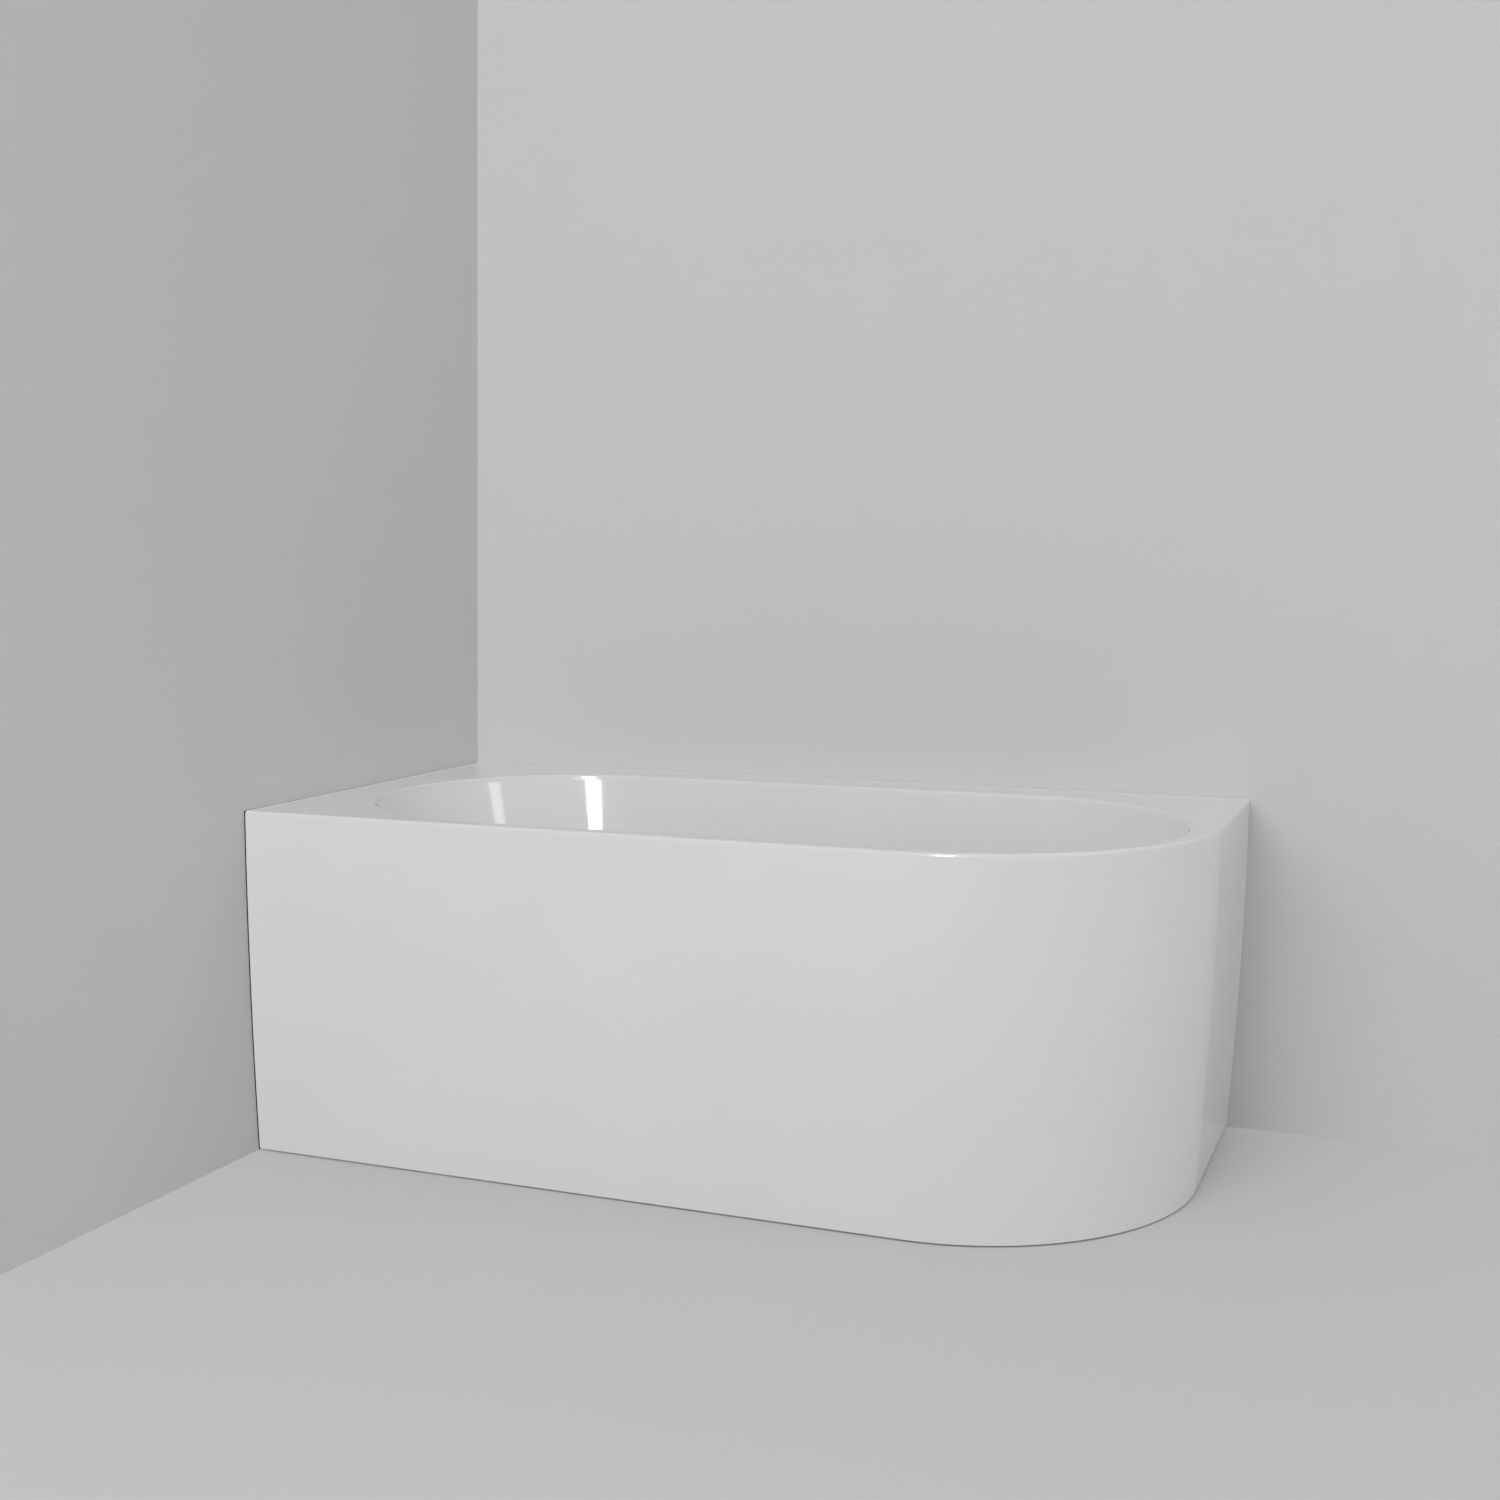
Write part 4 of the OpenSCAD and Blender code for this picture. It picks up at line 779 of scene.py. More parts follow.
# Polyester powder coat, light grey: a slight orange peel, 1 to 2 mm wide, breaks up the sheen
powder_coat, tree, shader = finish("light_grey_powder_coat")
place = add(tree, "ShaderNodeTexCoord").outputs["Object"]
cloud = add(tree, "ShaderNodeTexNoise", {"Vector": place, "Scale": 25.0, "Detail": 3.0})
tint = add(tree, "ShaderNodeMix", {"Factor": cloud.outputs[0], "A": colour("#A6A8AA"),
                                   "B": colour("#9B9EA1")}, data_type="RGBA")
tree.links.new(tint.outputs["Result"], shader.inputs["Base Color"])
shader.inputs["Roughness"].default_value = 0.38
shader.inputs["IOR"].default_value = 1.5
peel = add(tree, "ShaderNodeTexNoise", {"Vector": place, "Scale": 650.0, "Detail": 1.0})
bump = add(tree, "ShaderNodeBump", {"Height": peel.outputs[0], "Strength": 0.35,
                                    "Distance": 0.00015})
tree.links.new(bump.outputs[0], shader.inputs["Normal"])
for node in ("front_rail", "back_rail", "left_beam", "middle_beam", "right_beam",
             "front_left_post", "back_left_post", "back_middle_post", "back_right_post"):
    dressed(node + "_tube", node, powder_coat, bevel=0.0004, long_edge=0.0022)

# Weld beads: short ripples of molten wire beside each other, one row on each side of a joint
sizes = {"Ripple": 0.0016, "Bead radius": 0.0026}
made, size = sized_tree("weld_beads", sizes)
seam = add(made, "GeometryNodeMeshToCurve", {0: size["Geometry"]}).outputs[0]
drops = add(made, "GeometryNodeResampleCurve", {"Curve": seam, "Length": size["Ripple"]},
            mode="LENGTH").outputs[0]
drop = add(made, "GeometryNodeMeshUVSphere", {"Segments": 8, "Rings": 6,
                                              "Radius": size["Bead radius"]}).outputs[0]
uneven = add(made, "FunctionNodeRandomValue", {"Min": (0.8, 0.8, 0.7), "Max": (1.1, 1.1, 1.0),
                                               "Seed": 7}, data_type="FLOAT_VECTOR").outputs[0]
beads = add(made, "GeometryNodeInstanceOnPoints", {"Points": drops, "Instance": drop,
                                                   "Scale": uneven}).outputs[0]
ended(made, beads, powder_coat)
HALF_SEAM = 0.011
seams = []
for x in BEAM_X:
    for y in [rail + side * TUBE / 2 for rail in RAIL_Y for side in (-1, 1)] + [
            POST_BACK, POST_BACK + TUBE]:
        seams += [(x - HALF_SEAM, y, RAIL_Z), (x + HALF_SEAM, y, RAIL_Z)]
for y in (POST_FRONT, POST_FRONT + TUBE):
    seams += [(BEAM_X[0] - 0.0115, y, RAIL_Z), (BEAM_X[0] + 0.005, y, RAIL_Z)]
base = bpy.data.meshes.new("seams")
base.from_pydata(seams, [(i, i + 1) for i in range(0, len(seams), 2)], [])
welds = grown("frame_welds", base, made, sizes, angle=60)
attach(welds, "bath")

# Tube caps
# Injection-moulded polypropylene caps, hammered into the open ends of the tubes so that nobody
# is cut by the sawn steel and no water stands inside.

# Black polypropylene from a spark-eroded mould: a fine matt grain about 0.4 mm wide
black_plastic, tree, shader = finish("moulded_black_polypropylene")
place = add(tree, "ShaderNodeTexCoord").outputs["Object"]
cloud = add(tree, "ShaderNodeTexNoise", {"Vector": place, "Scale": 40.0, "Detail": 2.0})
tint = add(tree, "ShaderNodeMix", {"Factor": cloud.outputs[0], "A": colour("#1F1F20"),
                                   "B": colour("#29292A")}, data_type="RGBA")
tree.links.new(tint.outputs["Result"], shader.inputs["Base Color"])
shader.inputs["Roughness"].default_value = 0.48
grain = add(tree, "ShaderNodeTexNoise", {"Vector": place, "Scale": 1500.0, "Detail": 2.0})
bump = add(tree, "ShaderNodeBump", {"Height": grain.outputs[0], "Strength": 0.4,
                                    "Distance": 0.0001})
tree.links.new(bump.outputs[0], shader.inputs["Normal"])
dressed("moulded_tube_caps", "tube_caps", black_plastic, bevel=0.0007)

# Brackets and screws
# Four brackets folded from 3 mm sheet, screwed to the tubes; the foot of the apron is glued to
# their slanting flanges. Six longer screws hold the board on the rails. All are zinc plated.

# Bright zinc plate with a blue passivation: soft grey metal with a faint blue and straw tinge
zinc, tree, shader = finish("blue_passivated_zinc_plate")
place = add(tree, "ShaderNodeTexCoord").outputs["Object"]
cloud = add(tree, "ShaderNodeTexNoise", {"Vector": place, "Scale": 55.0, "Detail": 5.0})
ramp = add(tree, "ShaderNodeValToRGB", {0: cloud.outputs[0]})
ramp.color_ramp.elements[0].position = 0.35
ramp.color_ramp.elements[0].color = colour("#AEB6C2")
ramp.color_ramp.elements[1].position = 0.68
ramp.color_ramp.elements[1].color = colour("#C9C7BD")
ramp.color_ramp.elements.new(0.5).color = colour("#C1C5CA")
tree.links.new(ramp.outputs[0], shader.inputs["Base Color"])
shader.inputs["Metallic"].default_value = 1.0
haze = add(tree, "ShaderNodeMapRange", {"Value": cloud.outputs[0], "From Min": 0.3,
                                        "From Max": 0.7, "To Min": 0.28, "To Max": 0.42})
tree.links.new(haze.outputs[0], shader.inputs["Roughness"])
roll_marks = add(tree, "ShaderNodeTexNoise", {"Vector": place, "Scale": 900.0, "Detail": 2.0})
bump = add(tree, "ShaderNodeBump", {"Height": roll_marks.outputs[0], "Strength": 0.2,
                                    "Distance": 0.00006})
tree.links.new(bump.outputs[0], shader.inputs["Normal"])
for node in ("left_apron_bracket", "middle_apron_bracket", "corner_apron_bracket",
             "end_apron_bracket"):
    dressed("folded_" + node, node, zinc, bevel=0.0006)

# A pan-head screw, head up: domed head with a cross recess, and a shank with a coarse thread
sizes = {"Head radius": 0.005, "Head height": 0.003, "Shank radius": 0.0019,
         "Thread radius": 0.0025, "Thread pitch": 0.0018, "Length": 0.0332}
screw, size = sized_tree("cross_head_screw", sizes)
made = screw
dome = add(made, "GeometryNodeMeshUVSphere", {"Segments": 24, "Rings": 16, "Radius": 1.0})
girth = add(made, "ShaderNodeCombineXYZ", {0: size["Head radius"], 1: size["Head radius"],
                                           2: size["Head height"]}).outputs[0]
head = add(made, "GeometryNodeTransform", {"Geometry": dome.outputs[0],
                                           "Scale": girth}).outputs[0]
half = add(made, "GeometryNodeMeshCube", {"Size": (0.03, 0.03, 0.01)}).outputs[0]
half = add(made, "GeometryNodeTransform", {"Geometry": half,
                                           "Translation": (0, 0, -0.005)}).outputs[0]
long = add(made, M, {0: size["Head radius"], 1: 1.05}, operation="MULTIPLY").outputs[0]
slim = add(made, M, {0: size["Head radius"], 1: 0.24}, operation="MULTIPLY").outputs[0]
deep = add(made, M, {0: size["Head height"], 1: 1.2}, operation="MULTIPLY").outputs[0]
up = add(made, "ShaderNodeCombineXYZ", {2: size["Head height"]}).outputs[0]
recess = []
for across, thick in ((long, slim), (slim, long)):
    block = add(made, "ShaderNodeCombineXYZ", {0: across, 1: thick, 2: deep}).outputs[0]
    block = add(made, "GeometryNodeMeshCube", {"Size": block}).outputs[0]
    recess.append(add(made, "GeometryNodeTransform", {"Geometry": block,
                                                      "Translation": up}).outputs[0])
carve = add(made, "GeometryNodeMeshBoolean", {"Mesh 1": head}, operation="DIFFERENCE")
for tool in [half] + recess:
    made.links.new(tool, carve.inputs["Mesh 2"])
deep = add(made, M, {0: size["Length"], 1: -0.5}, operation="MULTIPLY").outputs[0]
low = add(made, "ShaderNodeCombineXYZ", {2: deep}).outputs[0]
shank = add(made, "GeometryNodeMeshCylinder", {"Vertices": 16, "Radius": size["Shank radius"],
                                               "Depth": size["Length"]}).outputs[0]
shank = add(made, "GeometryNodeTransform", {"Geometry": shank, "Translation": low}).outputs[0]
turns = add(made, M, {0: size["Length"], 1: size["Thread pitch"]},
            operation="DIVIDE").outputs[0]
fall = add(made, M, {0: size["Length"], 1: -1.0}, operation="MULTIPLY").outputs[0]
crest = add(made, M, {0: size["Thread radius"], 1: size["Shank radius"]},
            operation="SUBTRACT").outputs[0]
spiral = add(made, "GeometryNodeCurveSpiral", {"Resolution": 14, "Rotations": turns,
                                               "Start Radius": size["Shank radius"],
                                               "End Radius": size["Shank radius"],
                                               "Height": fall}).outputs[0]
ridge = add(made, "GeometryNodeCurvePrimitiveCircle", {"Resolution": 4, "Radius": crest})
thread = add(made, "GeometryNodeCurveToMesh", {"Curve": spiral,
                                               "Profile Curve": ridge.outputs[0],
                                               "Fill Caps": True}).outputs[0]
whole = add(made, "GeometryNodeJoinGeometry")
for piece in (thread, shank, carve.outputs[0]):
    made.links.new(piece, whole.inputs[0])
turn = add(made, "GeometryNodeInputNamedAttribute", {"Name": "turn"},
           data_type="FLOAT_VECTOR").outputs[0]
turn = add(made, "FunctionNodeEulerToRotation", {0: turn}).outputs[0]
placed = add(made, "GeometryNodeInstanceOnPoints", {"Points": size["Geometry"],
                                                    "Instance": whole.outputs[0],
                                                    "Rotation": turn}).outputs[0]
ended(made, placed, zinc)


def spots(name, places, turn=(0, 0, 0)):
    """Points for a tree to put pieces on, each with the same turn."""
    mesh = bpy.data.meshes.new(name)
    mesh.from_pydata(places, [], [])
    turns = mesh.attributes.new("turn", "FLOAT_VECTOR", "POINT")
    for item in turns.data:
        item.vector = turn
    return mesh


# The board's screws stand 45 mm in from its two ends and beside the middle beam
BOARD_LEFT, BOARD_RIGHT, SCREW_IN = WELL_LEFT + BACK_LEAN * WELL_DEPTH - 0.145, 0.500, 0.045
places = [(x, y, RAIL_Z - 0.0002)
          for x in (BOARD_LEFT + SCREW_IN, BEAM_X[1] + 0.060, BOARD_RIGHT - SCREW_IN)
          for y in RAIL_Y]
piece = grown("cross_head_board_screws", spots("places", places, (math.pi, 0, 0)), screw, sizes)
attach(piece, "bath")
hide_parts("board_screws")

# One screw for each bracket: two on the beams' front ends, two on top of the rails
BRACKET_IN, BRACKET = 0.015, 0.0032
CORNER_BRACKET_X, END_BRACKET_X = 0.6375, 0.736
places = [(BEAM_X[0], BEAM_FRONT + BRACKET_IN, RAIL_Z + BRACKET),
          (BEAM_X[1], BEAM_FRONT + BRACKET_IN, RAIL_Z + BRACKET),
          (CORNER_BRACKET_X, RAIL_Y[0], BOARD_Z + BRACKET),
          (END_BRACKET_X, RAIL_Y[1], BOARD_Z + BRACKET)]
sizes = dict(sizes, **{"Head height": 0.0028, "Length": 0.0092})
piece = grown("cross_head_bracket_screws", spots("places", places), screw, sizes)
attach(piece, "bath")
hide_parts("bracket_screws")

# Nuts
# Hexagon nuts for the feet, M12: one welded under each beam, and a thinner lock nut run up
# against it. Both are chamfered where the hexagon was turned from bar.
NUT_ACROSS, ROD_R = 0.018, 0.006
sizes = {"Across flats": NUT_ACROSS, "Bore radius": ROD_R + 0.00006, "Height": 0.010,
         "Turned share": 0.95, "Chamfer slope": 0.577}
made, size = sized_tree("chamfered_hexagon_nut", sizes)
sheet = add(made, "GeometryNodeMeshGrid", {"Size X": 1.0, "Size Y": 1.0, "Vertices X": 49,
                                           "Vertices Y": 7}).outputs[0]
at = add(made, "GeometryNodeInputPosition").outputs[0]
at = add(made, "ShaderNodeSeparateXYZ", {0: at})
share = add(made, M, {0: at.outputs[0], 1: 0.5}, operation="ADD").outputs[0]
bearing = add(made, M, {0: share, 1: 2 * math.pi}, operation="MULTIPLY").outputs[0]
row = add(made, "ShaderNodeMapRange", {"Value": at.outputs[1], "From Min": -0.5,
                                       "From Max": 0.5, "To Min": 0.0, "To Max": 6.0}).outputs[0]
row = add(made, M, {0: row}, operation="ROUND").outputs[0]
sector = add(made, M, {0: bearing, 1: math.pi / 3}, operation="MODULO").outputs[0]
sector = add(made, M, {0: sector, 1: math.pi / 6}, operation="SUBTRACT").outputs[0]
slope = add(made, M, {0: sector}, operation="COSINE").outputs[0]
flat_r = add(made, M, {0: size["Across flats"], 1: 0.5}, operation="MULTIPLY").outputs[0]
side_r = add(made, M, {0: flat_r, 1: slope}, operation="DIVIDE").outputs[0]
turned_r = add(made, M, {0: flat_r, 1: size["Turned share"]}, operation="MULTIPLY").outputs[0]
fall = add(made, M, {0: side_r, 1: turned_r}, operation="SUBTRACT").outputs[0]
fall = add(made, M, {0: fall, 1: size["Chamfer slope"]}, operation="MULTIPLY").outputs[0]
top = add(made, M, {0: size["Height"], 1: fall}, operation="SUBTRACT").outputs[0]
radius = add(made, "GeometryNodeIndexSwitch", {0: row}, data_type="FLOAT")
height = add(made, "GeometryNodeIndexSwitch", {0: row}, data_type="FLOAT")
for chooser, values in ((radius, (size["Bore radius"], turned_r, side_r, side_r, turned_r,
                                  size["Bore radius"], size["Bore radius"])),
                        (height, (0.0, 0.0, fall, top, size["Height"], size["Height"], 0.0))):
    while len(chooser.index_switch_items) < 7:
        chooser.index_switch_items.new()
    for k, value in enumerate(values):
        if isinstance(value, float):
            chooser.inputs[k + 1].default_value = value
        else:
            made.links.new(value, chooser.inputs[k + 1])
x = add(made, M, {0: bearing}, operation="COSINE").outputs[0]
y = add(made, M, {0: bearing}, operation="SINE").outputs[0]
x = add(made, M, {0: x, 1: radius.outputs[0]}, operation="MULTIPLY").outputs[0]
y = add(made, M, {0: y, 1: radius.outputs[0]}, operation="MULTIPLY").outputs[0]
spot = add(made, "ShaderNodeCombineXYZ", {0: x, 1: y, 2: height.outputs[0]}).outputs[0]
nut = add(made, "GeometryNodeSetPosition", {"Geometry": sheet, "Position": spot}).outputs[0]
nut = add(made, "GeometryNodeMergeByDistance", {"Geometry": nut,
                                                "Distance": 0.000001}).outputs[0]
placed = add(made, "GeometryNodeInstanceOnPoints", {"Points": size["Geometry"],
                                                    "Instance": nut}).outputs[0]
ended(made, placed, zinc)

# The feet stand 48 mm in from the beams' ends; the right beam ends 25 mm behind the round apron
FOOT_IN, APRON_IN = 0.048, 0.0253
RIGHT_BEAM_FRONT = CORNER_Y - math.sqrt((apron_s(BEAM_Z) - APRON_IN) ** 2
                                        - (BEAM_X[2] + TUBE / 2 - CORNER_X) ** 2)
FEET = [(x, y) for x, front in zip(BEAM_X, (BEAM_FRONT, BEAM_FRONT, RIGHT_BEAM_FRONT))
        for y in (front + FOOT_IN, BEAM_BACK - FOOT_IN)]
for name, node, low, height in (("chamfered_weld_nuts", "weld_nuts", 0.010, 0.010),
                                ("chamfered_lock_nuts", "lock_nuts", 0.016, 0.006)):
    base = spots("places", [(x, y, BEAM_Z - low) for x, y in FEET])
    piece = grown(name, base, made, dict(sizes, Height=height), angle=25)
    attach(piece, "bath")
    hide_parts(node)

# Feet
# Each foot is an M12 threaded rod, cut from zinc-plated bar, that snaps into a moulded pad.
# Turning the rod in the weld nut levels the bath.
sizes = {"Radius": ROD_R, "Length": 0.0984, "Pitch": 0.00175, "Thread depth": 0.00107,
         "Tip chamfer": 0.001, "Rows": 116}
made, size = sized_tree("threaded_rod", sizes)
sheet = add(made, "GeometryNodeMeshGrid", {"Size X": 1.0, "Size Y": 1.0, "Vertices X": 25,
                                           "Vertices Y": size["Rows"]}).outputs[0]
at = add(made, "GeometryNodeInputPosition").outputs[0]
at = add(made, "ShaderNodeSeparateXYZ", {0: at})
share = add(made, M, {0: at.outputs[0], 1: 0.5}, operation="ADD").outputs[0]
bearing = add(made, M, {0: share, 1: 2 * math.pi}, operation="MULTIPLY").outputs[0]
last = add(made, M, {0: size["Rows"], 1: 1.0}, operation="SUBTRACT").outputs[0]
row = add(made, M, {0: at.outputs[1], 1: 0.5}, operation="ADD").outputs[0]
row = add(made, M, {0: row, 1: last}, operation="MULTIPLY").outputs[0]
row = add(made, M, {0: row}, operation="ROUND").outputs[0]
half = add(made, M, {0: row, 1: 0.5, 2: share}, operation="MULTIPLY_ADD").outputs[0]
half = add(made, M, {0: half, 1: 1.0}, operation="SUBTRACT").outputs[0]
z = add(made, M, {0: half, 1: size["Pitch"]}, operation="MULTIPLY").outputs[0]
z = add(made, M, {0: z, 1: 0.0}, operation="MAXIMUM").outputs[0]
z = add(made, M, {0: z, 1: size["Length"]}, operation="MINIMUM").outputs[0]
root = add(made, M, {0: row, 1: 2.0}, operation="MODULO").outputs[0]
root = add(made, M, {0: root, 1: size["Thread depth"]}, operation="MULTIPLY").outputs[0]
radius = add(made, M, {0: size["Radius"], 1: root}, operation="SUBTRACT").outputs[0]
short = add(made, M, {0: size["Length"], 1: z}, operation="SUBTRACT").outputs[0]
tip = add(made, M, {0: size["Radius"], 1: size["Tip chamfer"]},
          operation="SUBTRACT").outputs[0]
tip = add(made, M, {0: tip, 1: short}, operation="ADD").outputs[0]
radius = add(made, M, {0: radius, 1: tip}, operation="MINIMUM").outputs[0]
x = add(made, M, {0: bearing}, operation="COSINE").outputs[0]
y = add(made, M, {0: bearing}, operation="SINE").outputs[0]
x = add(made, M, {0: x, 1: radius}, operation="MULTIPLY").outputs[0]
y = add(made, M, {0: y, 1: radius}, operation="MULTIPLY").outputs[0]
spot = add(made, "ShaderNodeCombineXYZ", {0: x, 1: y, 2: z}).outputs[0]
thread = add(made, "GeometryNodeSetPosition", {"Geometry": sheet, "Position": spot}).outputs[0]
core = add(made, M, {0: size["Radius"], 1: size["Thread depth"]},
           operation="SUBTRACT").outputs[0]
core = add(made, "GeometryNodeMeshCylinder", {"Vertices": 24, "Radius": core,
                                              "Depth": size["Length"]}).outputs[0]
half = add(made, M, {0: size["Length"], 1: 0.5}, operation="MULTIPLY").outputs[0]
up = add(made, "ShaderNodeCombineXYZ", {2: half}).outputs[0]
core = add(made, "GeometryNodeTransform", {"Geometry": core, "Translation": up}).outputs[0]
rod = add(made, "GeometryNodeJoinGeometry")
for piece in (core, thread):
    made.links.new(piece, rod.inputs[0])
placed = add(made, "GeometryNodeInstanceOnPoints", {"Points": size["Geometry"],
                                                    "Instance": rod.outputs[0]}).outputs[0]
ended(made, placed, zinc)

# Copies of one piece in a ring: the pad's ribs, and further on the spokes of the waste
fin_sizes = {"Copies": 12, "Material": black_plastic}
fins, fin_size = sized_tree("copies_in_a_ring", fin_sizes)
ring = add(fins, "GeometryNodeMeshCircle", {"Vertices": fin_size["Copies"],
                                            "Radius": 0.0}).outputs[0]
index = add(fins, "GeometryNodeInputIndex").outputs[0]
step = add(fins, M, {0: 2 * math.pi, 1: fin_size["Copies"]}, operation="DIVIDE").outputs[0]
bearing = add(fins, M, {0: index, 1: step}, operation="MULTIPLY").outputs[0]
bearing = add(fins, "ShaderNodeCombineXYZ", {2: bearing}).outputs[0]
bearing = add(fins, "FunctionNodeEulerToRotation", {0: bearing}).outputs[0]
around = add(fins, "GeometryNodeInstanceOnPoints", {"Points": ring,
                                                    "Instance": fin_size["Geometry"],
                                                    "Rotation": bearing}).outputs[0]
ended(fins, around, fin_size["Material"])
ROD_FOOT, HALF_FIN = 0.008, 0.0007
side = [(0.0105, 0.0065), (0.0215, 0.0050), (0.0215, 0.0058), (0.0125, 0.0145), (0.0105, 0.0145)]
for k, (x, y) in enumerate(FEET):
    rod = grown(f"threaded_rod_{k + 1}", spots("places", [(x, y, ROD_FOOT)]), made, sizes,
                angle=50)
    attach(rod, f"foot_{k + 1}")
    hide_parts(f"foot_{k + 1}_rod")
    dressed(f"moulded_pad_{k + 1}", f"foot_{k + 1}_pad", black_plastic,
            bevel=0.0003)
    fin = bpy.data.meshes.new("fin")
    fin.from_pydata([(r, w, z) for w in (-HALF_FIN, HALF_FIN) for r, z in side], [],
                    [tuple(range(4, -1, -1)), tuple(range(5, 10))]
                    + [(i, (i + 1) % 5, (i + 1) % 5 + 5, i + 5) for i in range(5)])
    ribs = grown(f"moulded_pad_ribs_{k + 1}", fin, fins, fin_sizes)
    ribs.data.transform(Matrix.Translation((x, y, 0)))
    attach(ribs, f"foot_{k + 1}")

# Waste
# A pop-up waste: a chromed brass flange screwed down into the plastic body under the well, and
# a chromed plug whose stem slides in the flange's hub. The cable lifts the plug 9 mm.
# Heights are from the drain's own level.
FLANGE_R, FLANGE_LOW, FLANGE_TOP = 0.036, -0.001, 0.0015
TAIL_R, TAIL_LOW, THROAT_R = 0.023, FLANGE_LOW - 0.028, 0.020
HUB_R, HUB_LOW, HUB_TOP, STEM_R = 0.007, FLANGE_LOW - 0.020, FLANGE_LOW - 0.012, 0.004
SEAL_R, GAP = 0.034, 0.0002

# Bright chrome plate on polished brass: mirror-like, with the faint haze that limescale and
# wiping leave on it
chrome, tree, shader = finish("bright_chrome_plate")
place = add(tree, "ShaderNodeTexCoord").outputs["Object"]
cloud = add(tree, "ShaderNodeTexNoise", {"Vector": place, "Scale": 45.0, "Detail": 5.0})
tint = add(tree, "ShaderNodeMix", {"Factor": cloud.outputs[0], "A": colour("#EDEEEF"),
                                   "B": colour("#E2E4E7")}, data_type="RGBA")
tree.links.new(tint.outputs["Result"], shader.inputs["Base Color"])
shader.inputs["Metallic"].default_value = 1.0
haze = add(tree, "ShaderNodeMapRange", {"Value": cloud.outputs[0], "From Min": 0.4,
                                        "From Max": 0.75, "To Min": 0.035, "To Max": 0.13})
tree.links.new(haze.outputs[0], shader.inputs["Roughness"])
ripple = add(tree, "ShaderNodeTexNoise", {"Vector": place, "Scale": 120.0, "Detail": 1.0})
bump = add(tree, "ShaderNodeBump", {"Height": ripple.outputs[0], "Strength": 0.06,
                                    "Distance": 0.00005})
tree.links.new(bump.outputs[0], shader.inputs["Normal"])

# EPDM rubber: dull black with a dusty bloom and the grain of its mould
rubber, tree, shader = finish("black_epdm_rubber")
place = add(tree, "ShaderNodeTexCoord").outputs["Object"]
bloom = add(tree, "ShaderNodeTexNoise", {"Vector": place, "Scale": 130.0, "Detail": 4.0})
tint = add(tree, "ShaderNodeMix", {"Factor": bloom.outputs[0], "A": colour("#191919"),
                                   "B": colour("#2B2B2A")}, data_type="RGBA")
tree.links.new(tint.outputs["Result"], shader.inputs["Base Color"])
shader.inputs["Roughness"].default_value = 0.68
grain = add(tree, "ShaderNodeTexNoise", {"Vector": place, "Scale": 1800.0, "Detail": 1.0})
bump = add(tree, "ShaderNodeBump", {"Height": grain.outputs[0], "Strength": 0.3,
                                    "Distance": 0.0001})
tree.links.new(bump.outputs[0], shader.inputs["Normal"])

# White polypropylene, injection moulded: slightly waxy, with faint flow marks
waste_white, tree, shader = finish("moulded_white_polypropylene")
place = add(tree, "ShaderNodeTexCoord").outputs["Object"]
flow = add(tree, "ShaderNodeTexNoise", {"Vector": place, "Scale": 24.0, "Detail": 3.0,
                                        "Distortion": 1.5})
tint = add(tree, "ShaderNodeMix", {"Factor": flow.outputs[0], "A": colour("#E0E0DC"),
                                   "B": colour("#D5D5D0")}, data_type="RGBA")
tree.links.new(tint.outputs["Result"], shader.inputs["Base Color"])
satin = add(tree, "ShaderNodeMapRange", {"Value": flow.outputs[0], "To Min": 0.3,
                                         "To Max": 0.46})
tree.links.new(satin.outputs[0], shader.inputs["Roughness"])
grain = add(tree, "ShaderNodeTexNoise", {"Vector": place, "Scale": 1200.0, "Detail": 1.0})
bump = add(tree, "ShaderNodeBump", {"Height": grain.outputs[0], "Strength": 0.2,
                                    "Distance": 0.00008})
tree.links.new(bump.outputs[0], shader.inputs["Normal"])


def softened(outline, radius, steps=4):
    """A closed outline with each of its corners rounded off."""
    soft = []
    points = [Vector(p) for p in outline]
    for k, p in enumerate(points):
        a, b = points[k - 1] - p, points[(k + 1) % len(points)] - p
        if p.x < 1e-6:
            soft.append(p)
            continue
        start = p + a.normalized() * min(radius, a.length * 0.45)
        end = p + b.normalized() * min(radius, b.length * 0.45)
        for i in range(steps + 1):
            u = i / steps
            soft.append(start * (1 - u) ** 2 + p * 2 * u * (1 - u) + end * u ** 2)
    return soft


def turned(name, outline, frame_at, material, sides=96):
    """A piece turned on a lathe from a closed outline of radius and height."""
    bm = bmesh.new()
    rows = [[Vector((p[0] * math.cos(a), p[0] * math.sin(a), p[1]))
             for a in (2 * math.pi * k / sides for k in range(sides))]
            for p in list(outline) + [outline[0]]]
    laid(bm, rows, closed=True)
    bmesh.ops.remove_doubles(bm, verts=bm.verts, dist=1e-6)
    bmesh.ops.dissolve_degenerate(bm, dist=1e-7, edges=bm.edges)
    bmesh.ops.recalc_face_normals(bm, faces=bm.faces)
    bm.transform(frame_at)
    mesh = bpy.data.meshes.new(name)
    bm.to_mesh(mesh)
    bm.free()
    smoothed(mesh, 32)
    return linked(name, mesh, material)


def joined(piece, *others):
    """Takes the others' meshes into a piece."""
    bm = bmesh.new()
    bm.from_mesh(piece.data)
    for other in others:
        bm.from_mesh(other.data)
        bpy.data.objects.remove(other)
    bm.to_mesh(piece.data)
    bm.free()
    smoothed(piece.data, 32)
    return piece


